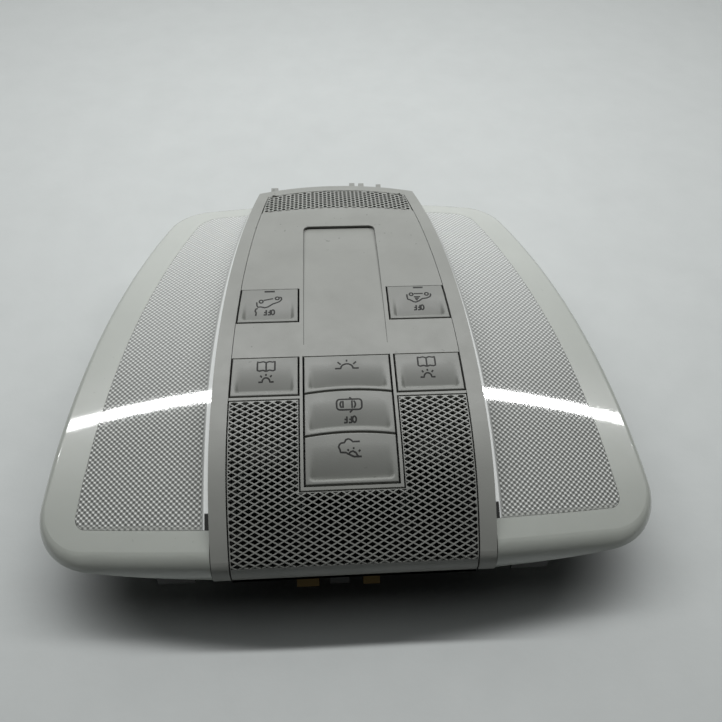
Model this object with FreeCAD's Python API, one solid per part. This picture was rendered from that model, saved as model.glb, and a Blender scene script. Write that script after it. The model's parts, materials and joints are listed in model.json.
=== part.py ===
"""Car interior light: an overhead console lamp lying on its back, visible face up.

Units are millimetres. +X is right, +Y points to the narrow far end, +Z up out of the visible face.
The origin is the middle of the flat back face of the rear cover.
"""
import FreeCAD, Part
import math
import os
from FreeCAD import Vector

os.makedirs("parts", exist_ok=True)

# Rim of the two lens surrounds, seen from above
RIM_HALF_WIDTH = 116.0
RIM_WIDEST_Y = -98.0
RIM_SIDE_R = 560.0
RIM_NEAR_Y = -96.2
RIM_NEAR_R = 780.0
RIM_FAR_Y = 100.0
RIM_NEAR_CORNER_R = 24.0
RIM_FAR_CORNER_R = 20.0
RIM_Z = 24.0
RIM_NEAR_ROLL_R = 8.0
RIM_EDGE_R = 3.2

# Doubly curved face of the lenses, its wall and the windows in it
LENS_TOP_Y = 11.0
LENS_TOP_Z = 46.0
LENS_LENGTH_R = 460.0
LENS_WIDTH_R = 640.0
LENS_WALL = 2.4
LENS_LEDGE = 2.0
LENS_LEDGE_T = 1.2
LENS_GAP = 0.12
WINDOW_SIDE_INSET = 15.0
WINDOW_NEAR_INSET = 13.5
WINDOW_FAR_INSET = 9.4
WINDOW_NEAR_CORNER_R = 5.0
WINDOW_FAR_CORNER_R = 11.0

# Side profile of the console, three tangent arcs
CREST_TOP_Y = 10.0
CREST_TOP_Z = 52.5
CREST_R = 400.0
CREST_BREAK_Y = -48.0
CREST_NEAR_R = 110.0
CREST_NEAR_END_DEG = 33.0
LIP_R = 7.0
LIP_END_DEG = 86.0

# Console outline: barrel shaped sides and an arched far end
BARREL_WIDEST_Y = -39.0
BODY_HALF_WIDTH = 51.8
BODY_SIDE_R = 820.0
BODY_FAR_Y = 111.5
BODY_FAR_R = 95.0
BODY_WALL = 2.0
BODY_TOP_T = 2.4
BODY_LENS_GAP = 0.3
NOTCH_Y = 80.0
RAIL_WIDTH = 6.2
FAR_BAR_WIDTH = 5.8
PANEL_HALF_WIDTH = BODY_HALF_WIDTH - RAIL_WIDTH
PANEL_SIDE_R = 890.0
PANEL_FAR_Y = BODY_FAR_Y - FAR_BAR_WIDTH
PANEL_FAR_R = BODY_FAR_R - RAIL_WIDTH
PANEL_T = 2.4
SEAM = 0.25

# Tabs on the far wall of the trim frame: middle x, width
FAR_TABS = ((-32.0, 3.6), (8.6, 2.8), (13.4, 2.8), (22.5, 2.4))
FAR_TAB_REACH = 4.5
FAR_TAB_ROOT = 1.2
FAR_TAB_DROP = 0.2
FAR_TAB_T = 2.2

# Shallow moulded recess in the panel
RECESS_HALF_WIDTH = 16.8
RECESS_NEAR_Y = -7.0
RECESS_FAR_Y = 67.6
RECESS_DEPTH = 1.3
RECESS_MIDDLE_SHARE = 0.4
RECESS_CORNER_R = 3.0

# Perforated far end of the panel
PERF_NEAR_Y = 85.7
PERF_NEAR_R = 164.0
PERF_PITCH = 3.5
PERF_HALF_HOLE = 1.05
PERF_MARGIN = 2.0

# Diamond grille
GRILLE_T = 1.8
GRILLE_PITCH_X = 5.3
GRILLE_PITCH_S = 3.06
GRILLE_BAR = 0.8
GRILLE_MARGIN = 0.7

# Keys, their wells and webs
KEY_GAP = 0.7
KEY_FAR_GAP = 0.25
ROW_FAR_Y = -16.3
READING_NEAR_Y = -34.6
WELL_HALF_WIDTH = 17.4
WELL_NEAR_Y = -69.9
CABIN_NEAR_Y = -33.8
DOOR_NEAR_Y = -51.7
KEY_ARCH = 1.3
WEB_T = 1.1
WEB_DEPTH = 5.0
ALARM_INNER_X = 18.5
ALARM_NEAR_Y = 1.5
ALARM_FAR_Y = 21.3
KEY_CAP_T = 2.6
KEY_SCOOP_DEPTH = 1.3
SCOOP_START_SHARE = 0.22
SCOOP_MIDDLE_SHARE = 0.42
SCOOP_BANK = 1.2
SCOOP_SIDE_BANK = 1.6
SCOOP_SIDE_SLOPE = 0.7
SCOOP_OVERCUT = 0.1
KEY_SIDE_RIM = 2.2
KEY_NEAR_RIM = 1.6
KEY_WEB_T = 1.2
KEY_WEB_NEAR = 6.0
KEY_WEB_FAR = 2.0
KEY_ROOT_SHARE = 0.75
KEY_PIN_R = 1.0
KEY_PIN_PLAY = 0.05
KEY_HINGE_BACK = 3.0
KEY_HINGE_DROP = 6.2
PLUNGER_R = 2.0
PLUNGER_SHARE = 0.62

# Blocks that carry the keys
POST_INSET = 0.35
POST_T = 1.6
POST_HALF_LENGTH = 2.2
POST_PLAY = 0.15
POST_RISE = 2.0
BLOCK_Z = 33.0
BLOCK_T = 1.6
BLOCK_LEG = 3.6
BLOCK_HOLE_R = 3.4
BLOCK_FAR_INSET = 0.4

# Circuit board, rubber domes, connector and sensors
BOARD_Z = 26.0
BOARD_T = 1.6
BOARD_INSET = 2.4
BOARD_HALF_WIDTH = PANEL_HALF_WIDTH - BOARD_INSET
BOARD_POST_PLAY = 0.4
BOARD_NEAR_Y = -72.0
BOARD_FAR_Y = 66.0
# Parts soldered under the board: middle x, middle y, width, length, height
BOARD_CHIPS = ((-7.0, -43.0, 26.0, 14.0, 2.2), (10.0, -12.0, 16.0, 16.0, 3.4),
               (-10.0, 18.0, 16.0, 16.0, 8.0), (12.0, 22.0, 16.0, 16.0, 8.0))
DOME_H = 4.4
DOME_BASE_R = 4.4
DOME_TOP_R = 2.3
SENSOR_X = PANEL_HALF_WIDTH - 14.4
SENSOR_Y = -54.0
SENSOR_R = 8.0
SENSOR_H = 13.0
SENSOR_RIM = 1.5
SENSOR_DISH = 1.2
MIC_Y = 91.0
MIC_R = 4.8
MIC_H = 6.0
MIC_TUBE_WALL = 1.4
MIC_FACE_T = 1.2
HEADER_HALF_WIDTH = 16.0
HEADER_NEAR_Y = 53.0
HEADER_FAR_Y = 73.0
HEADER_Z = 9.5
HEADER_TOP_Z = 21.5
HEADER_WALL = 2.6
HEADER_DEPTH = 12.0
HEADER_PINS = 6
HEADER_PIN_PITCH = 4.0
HEADER_PIN_T = 0.8
HEADER_PIN_LENGTH = 6.0
HEADER_PIN_ROOT = 1.0
HEADER_PLAY = 0.4
HEADER_WINDOW_GAP = 0.6

# Back frame and rear cover
PLATE_T = 2.0
PLATE_INSET = 1.5
PLATE_LIP_INSET = 0.5
PLATE_WINDOW_HALF_WIDTH = 26.0
PLATE_WINDOW_NEAR_Y = -62.0
PLATE_WINDOW_FAR_Y = 58.6
FOOT_X = 57.0
FOOT_WIDTH = 13.0
FOOT_NEAR_Y = -93.2
FOOT_LENGTH = 7.0
FOOT_DROP = 3.0
BOSS_R = 3.5
BOSS_CAP = 0.6
COVER_BOSS_R = 4.4
COVER_BOARD_GAP = 1.0
COVER_HALF_WIDTH = BOARD_HALF_WIDTH + COVER_BOARD_GAP
COVER_HALF_LENGTH = 72.0
COVER_WALL = 2.0
COVER_CORNER_R = 4.0
COVER_SCREW_INSET = 8.0
COVER_SCREW_X = COVER_HALF_WIDTH - COVER_SCREW_INSET
COVER_SCREW_Y = 62.0
SCREW_R = 1.4
SCREW_HEAD_R = 2.8
SCREW_HEAD_H = 2.0
SCREW_SINK = 0.8
SCREW_END_GAP = 0.8
SCREW_SLOT = 0.8
SCREW_PLAY = 0.1
PANEL_POSTS = ((PANEL_HALF_WIDTH - 11.4, -8.0), (PANEL_HALF_WIDTH - 15.4, 76.0))
PANEL_POST_R = 3.2
PANEL_SCREW_BITE = 9.0
PANEL_SCREW_HOLE = 10.0

# Reflector trays, bulbs and bulb holders
TRAY_SIDE_INSET = 22.0
TRAY_NEAR_INSET = 18.0
TRAY_FAR_INSET = 22.0
TRAY_BODY_GAP = 4.0
TRAY_NEAR_CORNER_R = 8.0
TRAY_FAR_CORNER_R = 12.0
TRAY_Z = 7.0
TRAY_WALL = 1.5
TRAY_FLANGE = 2.0
TRAY_PLAY = 0.3
READING_BULB_Y = -45.0
COURTESY_BULB_Y = 45.0
HOLDER_R = 9.0
HOLDER_BARREL_R = 6.0
HOLDER_DROP = 3.0
HOLDER_RISE = 4.0
HOLDER_PLAY = 0.15
HOLDER_GRIP_INSET = 2.0
HOLDER_GRIP_T = 2.4
HOLDER_GRIP_DROP = 2.0
BULB_SEAT = 0.5
BULB_PLAY = 0.1
BULB_NECK_RISE = 1.5
BULB_FLARE = 3.0
BULB_R = 5.0
BULB_NECK_R = 3.0
BULB_H = 22.0

# Spring clip under the near lip
CLIP_T = 0.8
CLIP_LEGS = ((-21.0, -13.0), (3.0, 9.0))
CLIP_BLOCK = (-9.0, -2.0)
CLIP_NEAR_Y = -94.5
CLIP_BASE_Y = -80.0
CLIP_BASE_WIDTH = 4.0
CLIP_DROP = 13.0
CLIP_BEND = 4.0
CLIP_KNEE_DROP = 6.0
CLIP_BLOCK_NEAR_INSET = 1.5
CLIP_BLOCK_FAR_INSET = 6.0
CLIP_BLOCK_DROP = 10.0

# Cutting shapes reach past the part by these distances
DEEP = 60.0
OUT = 150.0
BELOW_Z = -50.0
ABOVE_Z = 100.0
FACE_FAR_Y = 130.0
FACE_NEAR_Y = -130.0
LENS_SPREAD_DEG = 28.0
LENS_TURN_DEG = 25.0
PAST = 1.0


def box(x0, x1, y0, y1, z0, z1):
    return Part.makeBox(x1 - x0, y1 - y0, z1 - z0, Vector(x0, y0, z0))


def rod(r, x, y, z0, z1):
    return Part.makeCylinder(r, z1 - z0, Vector(x, y, z0))


def line(a, b):
    return Part.LineSegment(a, b).toShape()


def arc(a, b, c):
    return Part.Arc(a, b, c).toShape()


def circles_meet(c1, r1, c2, r2, near):
    """The crossing of two circles in plan that lies closer to the point near."""
    dx = c2[0] - c1[0]
    dy = c2[1] - c1[1]
    d = math.hypot(dx, dy)
    along = (r1 * r1 - r2 * r2 + d * d) / (2 * d)
    across = math.sqrt(max(r1 * r1 - along * along, 0.0))
    px = c1[0] + along * dx / d
    py = c1[1] + along * dy / d
    found = [(px + s * across * dy / d, py - s * across * dx / d) for s in (1, -1)]
    return min(found, key=lambda p: math.hypot(p[0] - near[0], p[1] - near[1]))


def upright_edges(solid, low_y, high_y):
    """Straight upright edges of a prism whose y lies between the two values."""
    found = []
    for edge in solid.Edges:
        a = edge.Vertexes[0].Point
        b = edge.Vertexes[-1].Point
        if abs(a.z - b.z) > 1 and math.hypot(a.x - b.x, a.y - b.y) < 0.01 and low_y < a.y < high_y:
            found.append(edge)
    return found


def side_pick(shape, side):
    """The largest solid of a shape on the left (-1) or the right (1)."""
    solids = [s for s in shape.Solids if s.CenterOfMass.x * side > 0]
    return max(solids, key=lambda s: s.Volume)


def rim_prism(side, near, far, near_r, far_r, z0, z1):
    """Upright prism on the rim outline, moved inwards by a distance for each side."""
    near_c = (0.0, RIM_NEAR_Y + RIM_NEAR_R)
    near_radius = RIM_NEAR_R - near
    side_c = (RIM_HALF_WIDTH - RIM_SIDE_R, RIM_WIDEST_Y)
    side_radius = RIM_SIDE_R - side
    ax, ay = circles_meet(near_c, near_radius, side_c, side_radius, (RIM_HALF_WIDTH, RIM_NEAR_Y))
    by = RIM_FAR_Y - far
    bx = side_c[0] + math.sqrt(side_radius ** 2 - (by - side_c[1]) ** 2)
    my = (ay + by) / 2
    mx = side_c[0] + math.sqrt(side_radius ** 2 - (my - side_c[1]) ** 2)
    wire = Part.Wire([
        arc(Vector(-ax, ay, z0), Vector(0, near_c[1] - near_radius, z0), Vector(ax, ay, z0)),
        arc(Vector(ax, ay, z0), Vector(mx, my, z0), Vector(bx, by, z0)),
        line(Vector(bx, by, z0), Vector(-bx, by, z0)),
        arc(Vector(-bx, by, z0), Vector(-mx, my, z0), Vector(-ax, ay, z0)),
    ])
    prism = Part.Face(wire).extrude(Vector(0, 0, z1 - z0))
    prism = prism.makeFillet(near_r, upright_edges(prism, ay - 1, ay + 1))
    return prism.makeFillet(far_r, upright_edges(prism, by - 1, by + 1))


def rim_inset(d, z0, z1):
    return rim_prism(d, d, d, RIM_NEAR_CORNER_R - d, RIM_FAR_CORNER_R - d, z0, z1)


def window_prism(d, z0, z1):
    return rim_prism(WINDOW_SIDE_INSET + d, WINDOW_NEAR_INSET + d, WINDOW_FAR_INSET + d,
                     WINDOW_NEAR_CORNER_R - d, WINDOW_FAR_CORNER_R - d, z0, z1)


def tray_prism(d, z0, z1):
    whole = rim_prism(TRAY_SIDE_INSET + d, TRAY_NEAR_INSET + d, TRAY_FAR_INSET + d,
                      TRAY_NEAR_CORNER_R - d, TRAY_FAR_CORNER_R - d, z0, z1)
    return whole.cut(body_prism(-TRAY_BODY_GAP - d, z0 - PAST, z1 + PAST))


def barrel_prism(half_width, side_r, far_y, far_r, near_y, z0, z1):
    """Upright prism with barrel shaped sides, an arched far end and a straight near end."""
    side_c = (half_width - side_r, BARREL_WIDEST_Y)
    far_c = (0.0, far_y - far_r)
    fx, fy = circles_meet(side_c, side_r, far_c, far_r, (half_width, far_y))
    nx = side_c[0] + math.sqrt(side_r ** 2 - (near_y - side_c[1]) ** 2)
    wire = Part.Wire([
        line(Vector(-nx, near_y, z0), Vector(nx, near_y, z0)),
        arc(Vector(nx, near_y, z0), Vector(half_width, BARREL_WIDEST_Y, z0), Vector(fx, fy, z0)),
        arc(Vector(fx, fy, z0), Vector(0, far_y, z0), Vector(-fx, fy, z0)),
        arc(Vector(-fx, fy, z0), Vector(-half_width, BARREL_WIDEST_Y, z0), Vector(-nx, near_y, z0)),
    ])
    return Part.Face(wire).extrude(Vector(0, 0, z1 - z0))


def body_prism(d, z0, z1, near_y=FACE_NEAR_Y):
    return barrel_prism(BODY_HALF_WIDTH - d, BODY_SIDE_R - d, BODY_FAR_Y - d, BODY_FAR_R - d, near_y, z0, z1)


def panel_prism(d, z0, z1, near_y=FACE_NEAR_Y):
    return barrel_prism(PANEL_HALF_WIDTH - d, PANEL_SIDE_R - d, PANEL_FAR_Y - d, PANEL_FAR_R - d,
                        near_y, z0, z1)


def panel_half_width(y):
    return PANEL_HALF_WIDTH - PANEL_SIDE_R + math.sqrt(PANEL_SIDE_R ** 2 - (y - BARREL_WIDEST_Y) ** 2)


# Centres of the three arcs of the side profile, as (y, z)
BREAK_ANGLE = math.asin((CREST_TOP_Y - CREST_BREAK_Y) / CREST_R)
CREST_C = (CREST_TOP_Y, CREST_TOP_Z - CREST_R)
NEAR_C = (CREST_C[0] - (CREST_R - CREST_NEAR_R) * math.sin(BREAK_ANGLE),
          CREST_C[1] + (CREST_R - CREST_NEAR_R) * math.cos(BREAK_ANGLE))
NEAR_END = math.radians(CREST_NEAR_END_DEG)
LIP_C = (NEAR_C[0] - (CREST_NEAR_R - LIP_R) * math.sin(NEAR_END),
         NEAR_C[1] + (CREST_NEAR_R - LIP_R) * math.cos(NEAR_END))
LIP_END = math.radians(LIP_END_DEG)
GRILLE_FAR_Y = READING_NEAR_Y - WEB_T - KEY_GAP / 2


def on_arc(centre, radius, angle, x=0.0):
    """Point of the side profile at an angle from straight up, turning to the near end."""
    return Vector(x, centre[0] - radius * math.sin(angle), centre[1] + radius * math.cos(angle))


def crest_z(y, drop=0.0):
    """Height of the console face at y, or of the face lowered by drop along its normal."""
    far_y = CREST_C[0] - (CREST_R - drop) * math.sin(BREAK_ANGLE)
    if y >= far_y:
        return CREST_C[1] + math.sqrt((CREST_R - drop) ** 2 - (y - CREST_C[0]) ** 2)
    near_y = NEAR_C[0] - (CREST_NEAR_R - drop) * math.sin(NEAR_END)
    if y >= near_y:
        return NEAR_C[1] + math.sqrt((CREST_NEAR_R - drop) ** 2 - (y - NEAR_C[0]) ** 2)
    return LIP_C[1] + math.sqrt(max((LIP_R - drop) ** 2 - (y - LIP_C[0]) ** 2, 0.0))


def crest_solid(drop, half_width=DEEP):
    """Everything under the console face, or under the face lowered by drop."""
    far_angle = -math.asin((FACE_FAR_Y - CREST_C[0]) / (CREST_R - drop))
    x = -half_width
    marks = [(CREST_C, CREST_R - drop, far_angle, BREAK_ANGLE),
             (NEAR_C, CREST_NEAR_R - drop, BREAK_ANGLE, NEAR_END),
             (LIP_C, LIP_R - drop, NEAR_END, LIP_END)]
    edges = []
    for centre, radius, start, end in marks:
        middle = on_arc(centre, radius, (start + end) / 2, x)
        edges.append(arc(on_arc(centre, radius, start, x), middle, on_arc(centre, radius, end, x)))
    first = on_arc(CREST_C, CREST_R - drop, far_angle, x)
    last = on_arc(LIP_C, LIP_R - drop, LIP_END, x)
    foot = Vector(x, last.y, 0)
    heel = Vector(x, first.y, 0)
    edges += [line(last, foot), line(foot, heel), line(heel, first)]
    return Part.Face(Part.Wire(edges)).extrude(Vector(2 * half_width, 0, 0))


def lens_dome(drop):
    """Everything under the doubly curved lens face, or under the face lowered by drop."""
    radius = LENS_LENGTH_R - drop
    centre = (LENS_TOP_Y, LENS_TOP_Z - LENS_LENGTH_R)
    spread = math.radians(LENS_SPREAD_DEG)
    near = on_arc(centre, radius, spread)
    far = on_arc(centre, radius, -spread)
    low = LENS_TOP_Z - OUT
    wire = Part.Wire([
        arc(near, on_arc(centre, radius, 0.0), far),
        line(far, Vector(0, far.y, low)),
        line(Vector(0, far.y, low), Vector(0, near.y, low)),
        line(Vector(0, near.y, low), near),
    ])
    face = Part.Face(wire)
    pivot = Vector(0, 0, LENS_TOP_Z - LENS_WIDTH_R)
    face.rotate(pivot, Vector(0, 1, 0), -LENS_TURN_DEG)
    return face.revolve(pivot, Vector(0, 1, 0), 2 * LENS_TURN_DEG)


def roll_edges(block, near_r, edge_r):
    """A block with the edges of its top face rolled over, by a larger radius along the near edge."""
    top = max(block.Faces, key=lambda f: f.CenterOfMass.z)
    near_y = RIM_NEAR_Y + RIM_NEAR_CORNER_R / 2
    rows = []
    for i, edge in enumerate(block.Edges):
        if any(edge.isSame(e) for e in top.OuterWire.Edges):
            first = near_r if edge.Vertexes[0].Point.y < near_y else edge_r
            last = near_r if edge.Vertexes[-1].Point.y < near_y else edge_r
            rows.append((i + 1, first, last))
    doc = FreeCAD.newDocument()
    base = doc.addObject("Part::Feature", "base")
    base.Shape = block
    rolled = doc.addObject("Part::Fillet", "rolled")
    rolled.Base = base
    rolled.Edges = rows
    doc.recompute()
    shape = rolled.Shape.copy()
    FreeCAD.closeDocument(doc.Name)
    return shape.Solids[0]


def lens_block(d):
    """Solid under the lens face within the rim, its top edge rolled over, all moved in by d."""
    block = rim_inset(d, BELOW_Z, ABOVE_Z).common(lens_dome(d)).Solids[0]
    return roll_edges(block, RIM_NEAR_ROLL_R - d, RIM_EDGE_R - d)


def make_lenses():
    """Surround and window of each side, as {name: shape}."""
    shell = lens_block(0.0).cut(lens_block(LENS_WALL))
    far_x = circles_meet((BODY_HALF_WIDTH - BODY_SIDE_R, BARREL_WIDEST_Y), BODY_SIDE_R,
                         (0.0, BODY_FAR_Y - BODY_FAR_R), BODY_FAR_R, (BODY_HALF_WIDTH, BODY_FAR_Y))[0]
    notch = far_x + BODY_LENS_GAP
    middle = body_prism(-BODY_LENS_GAP, BELOW_Z, ABOVE_Z)
    middle = middle.fuse(box(-notch, notch, NOTCH_Y, FACE_FAR_Y, BELOW_Z, ABOVE_Z))
    below = box(-OUT, OUT, -OUT, OUT, -OUT, RIM_Z)
    shell = shell.cut(middle).cut(below)
    ledge = lens_dome(LENS_WALL).cut(lens_dome(LENS_WALL + LENS_LEDGE_T))
    ring = window_prism(-LENS_LEDGE, 0, ABOVE_Z).cut(window_prism(LENS_LEDGE, -PAST, ABOVE_Z + PAST))
    ledge = ledge.common(ring).cut(middle)
    surround = shell.cut(window_prism(0.0, 0, ABOVE_Z))
    window = shell.common(window_prism(LENS_GAP, 0, ABOVE_Z))
    made = {}
    for side, word in ((-1, "left"), (1, "right")):
        rib = [s for s in ledge.Solids if s.CenterOfMass.x * side > 0]
        whole = side_pick(surround, side).multiFuse(rib)
        made["lens_surround_" + word] = side_pick(whole, side)
        made["lens_window_" + word] = side_pick(window, side)
    return made


def make_trim_frame():
    outer = body_prism(0.0, RIM_Z, ABOVE_Z).common(crest_solid(0.0))
    hollow = body_prism(BODY_WALL, RIM_Z - PAST, ABOVE_Z).common(crest_solid(BODY_TOP_T))
    frame = outer.cut(hollow).cut(panel_prism(0.0, RIM_Z - PAST, ABOVE_Z))
    for x, width in FAR_TABS:
        wall_y = BODY_FAR_Y - BODY_FAR_R + math.sqrt(BODY_FAR_R ** 2 - x * x)
        top = crest_z(wall_y + FAR_TAB_REACH) - FAR_TAB_DROP
        frame = frame.fuse(box(x - width / 2, x + width / 2, wall_y - FAR_TAB_ROOT, wall_y + FAR_TAB_REACH,
                               top - FAR_TAB_T, top))
    return frame.removeSplitter()


def perforation():
    """Upright square holes in staggered rows between the two arcs of the far end."""
    holes = []
    row = 0
    y = PERF_NEAR_Y - PERF_PITCH * math.sqrt(2)
    while y < PANEL_FAR_Y:
        count = int(PANEL_HALF_WIDTH / PERF_PITCH) + 1
        for i in range(-count, count + 1):
            x = PERF_PITCH * (i + 0.5 * (row % 2))
            near_y = PERF_NEAR_Y - PERF_NEAR_R + math.sqrt(PERF_NEAR_R ** 2 - x * x)
            far_y = PANEL_FAR_Y - PANEL_FAR_R + math.sqrt(PANEL_FAR_R ** 2 - x * x)
            inside = near_y + PERF_MARGIN < y < far_y - PERF_MARGIN
            if inside and abs(x) < panel_half_width(y) - PERF_MARGIN:
                holes.append(diamond(x, y, PERF_HALF_HOLE, PERF_HALF_HOLE))
        row += 1
        y += PERF_PITCH * math.sqrt(0.75)
    return holes


def diamond(x, y, half_x, half_y):
    """Upright four sided prism with its corners on the axes through (x, y)."""
    z = RIM_Z - PAST
    corners = [Vector(x + half_x, y, z), Vector(x, y + half_y, z),
               Vector(x - half_x, y, z), Vector(x, y - half_y, z)]
    face = Part.Face(Part.makePolygon(corners + corners[:1]))
    return face.extrude(Vector(0, 0, DEEP))


def recess_tool():
    """Space over the sloping floor of the recess, deepest at its far edge."""
    middle_y = (RECESS_NEAR_Y + RECESS_FAR_Y) / 2
    x = -RECESS_HALF_WIDTH
    near = Vector(x, RECESS_NEAR_Y, crest_z(RECESS_NEAR_Y))
    middle = Vector(x, middle_y, crest_z(middle_y) - RECESS_MIDDLE_SHARE * RECESS_DEPTH)
    far = Vector(x, RECESS_FAR_Y, crest_z(RECESS_FAR_Y) - RECESS_DEPTH)
    far_up = Vector(x, RECESS_FAR_Y, ABOVE_Z)
    near_up = Vector(x, RECESS_NEAR_Y, ABOVE_Z)
    wire = Part.Wire([arc(near, middle, far), line(far, far_up), line(far_up, near_up), line(near_up, near)])
    tool = Part.Face(wire).extrude(Vector(2 * RECESS_HALF_WIDTH, 0, 0))
    return tool.makeFillet(RECESS_CORNER_R, upright_edges(tool, RECESS_FAR_Y - PAST, RECESS_FAR_Y + PAST))


def make_centre_panel():
    whole = panel_prism(SEAM, RIM_Z, ABOVE_Z).common(crest_solid(0.0))
    plate = whole.cut(crest_solid(PANEL_T)).cut(box(-DEEP, DEEP, FACE_NEAR_Y, ROW_FAR_Y, 0, ABOVE_Z))
    web_x = WELL_HALF_WIDTH + WEB_T
    webs = box(-web_x, web_x, WELL_NEAR_Y - WEB_T, ROW_FAR_Y + WEB_T, 0, ABOVE_Z)
    webs = webs.fuse(box(-DEEP, DEEP, READING_NEAR_Y - WEB_T, READING_NEAR_Y, 0, ABOVE_Z))
    webs = webs.fuse(box(-DEEP, DEEP, ROW_FAR_Y, ROW_FAR_Y + WEB_T, 0, ABOVE_Z))
    webs = webs.cut(box(-WELL_HALF_WIDTH, WELL_HALF_WIDTH, WELL_NEAR_Y, ROW_FAR_Y, -PAST, ABOVE_Z + PAST))
    panel = plate.fuse(whole.common(webs).cut(crest_solid(WEB_DEPTH)))
    under_skin = crest_solid(PANEL_T / 2)
    for x, y in PANEL_POSTS:
        for side in (-1, 1):
            panel = panel.fuse(rod(PANEL_POST_R, side * x, y, RIM_Z, ABOVE_Z).common(under_skin))
    mic_top = crest_z(MIC_Y) - PANEL_T
    panel = panel.fuse(rod(MIC_R + MIC_TUBE_WALL, 0, MIC_Y, mic_top - MIC_H, ABOVE_Z).common(under_skin))
    tools = perforation() + [recess_tool()]
    tools.append(rod(MIC_R + SCREW_PLAY, 0, MIC_Y, RIM_Z, mic_top - MIC_FACE_T))
    for side in (-1, 1):
        x0, x1 = sorted((side * ALARM_INNER_X, side * DEEP))
        tools.append(box(x0, x1, ALARM_NEAR_Y, ALARM_FAR_Y, 0, ABOVE_Z))
        for x, y in PANEL_POSTS:
            tools.append(rod(SCREW_R + SCREW_PLAY, side * x, y, RIM_Z - PAST, RIM_Z + PANEL_SCREW_HOLE))
    return panel.cut(tools).removeSplitter()


def grille_rows():
    """Angles and arc centres of the lattice rows, from the far edge of the grille to its lip."""
    rows = []
    s = -CREST_R * (BREAK_ANGLE - math.asin((CREST_TOP_Y - GRILLE_FAR_Y) / CREST_R))
    while True:
        centre, radius = (CREST_C, CREST_R) if s < 0 else (NEAR_C, CREST_NEAR_R)
        angle = BREAK_ANGLE + s / radius
        if angle > NEAR_END:
            return rows
        rows.append((centre, radius, angle))
        s += GRILLE_PITCH_S / 2


def grille_plate():
    """Plate under the console face with one flat strip for each lattice row, and its near lip."""
    rows = grille_rows()
    x = -DEEP
    top = [on_arc(c, r, a, x) for c, r, a in rows] + [on_arc(LIP_C, LIP_R, NEAR_END, x)]
    low = [on_arc(c, r - GRILLE_T, a, x) for c, r, a in rows] + [on_arc(LIP_C, LIP_R - GRILLE_T, NEAR_END, x)]
    half = (NEAR_END + LIP_END) / 2
    out_end = on_arc(LIP_C, LIP_R, LIP_END, x)
    in_end = on_arc(LIP_C, LIP_R - GRILLE_T, LIP_END, x)
    out_foot = Vector(x, out_end.y, RIM_Z)
    in_foot = Vector(x, in_end.y, RIM_Z)
    edges = [line(a, b) for a, b in zip(top, top[1:])]
    edges += [arc(top[-1], on_arc(LIP_C, LIP_R, half, x), out_end), line(out_end, out_foot),
              line(out_foot, in_foot), line(in_foot, in_end),
              arc(in_end, on_arc(LIP_C, LIP_R - GRILLE_T, half, x), low[-1])]
    edges += [line(b, a) for a, b in reversed(list(zip(low, low[1:])))]
    edges.append(line(low[0], top[0]))
    return Part.Face(Part.Wire(edges)).extrude(Vector(2 * DEEP, 0, 0))


def make_diamond_grille():
    well_x = WELL_HALF_WIDTH + WEB_T + KEY_GAP / 2
    well_y = WELL_NEAR_Y - WEB_T - KEY_GAP / 2
    grille = grille_plate().common(panel_prism(SEAM, 0, ABOVE_Z))
    grille = grille.cut(box(-well_x, well_x, well_y, FACE_FAR_Y, 0, ABOVE_Z))
    half_x = GRILLE_PITCH_X / 2 - GRILLE_BAR
    half_s = GRILLE_PITCH_S / 2 - GRILLE_BAR * math.sqrt(1 / 3)
    count = int(PANEL_HALF_WIDTH / GRILLE_PITCH_X) + 1
    holes = []
    for row, (centre, radius, angle) in enumerate(grille_rows()):
        y = on_arc(centre, radius, angle).y
        half_y = half_s * math.cos(angle)
        if y - half_y < on_arc(NEAR_C, CREST_NEAR_R, NEAR_END).y:
            continue
        for i in range(-count, count + 1):
            x = GRILLE_PITCH_X * (i + 0.5 * (row % 2))
            clear_side = abs(x) + half_x < panel_half_width(y) - SEAM - GRILLE_MARGIN
            clear_far = y + half_y < GRILLE_FAR_Y - GRILLE_MARGIN
            clear_well = abs(x) - half_x > well_x + GRILLE_MARGIN or y + half_y < well_y - GRILLE_MARGIN
            if clear_side and clear_far and clear_well:
                holes.append(diamond(x, y, half_x, half_y))
    return grille.cut(holes)


def key_outline(x0, x1, near_y, far_y, near_arch, far_arch):
    """Prism on the plan of a key; an arch bulges its straight edge to the far side."""
    middle = (x0 + x1) / 2
    corners = [Vector(x0, near_y, 0), Vector(x1, near_y, 0), Vector(x1, far_y, 0), Vector(x0, far_y, 0)]
    near = line(corners[0], corners[1])
    if near_arch:
        near = arc(corners[0], Vector(middle, near_y + near_arch, 0), corners[1])
    far = line(corners[2], corners[3])
    if far_arch:
        far = arc(corners[2], Vector(middle, far_y + far_arch, 0), corners[3])
    wire = Part.Wire([near, line(corners[1], corners[2]), far, line(corners[3], corners[0])])
    return Part.Face(wire).extrude(Vector(0, 0, ABOVE_Z))


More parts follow.
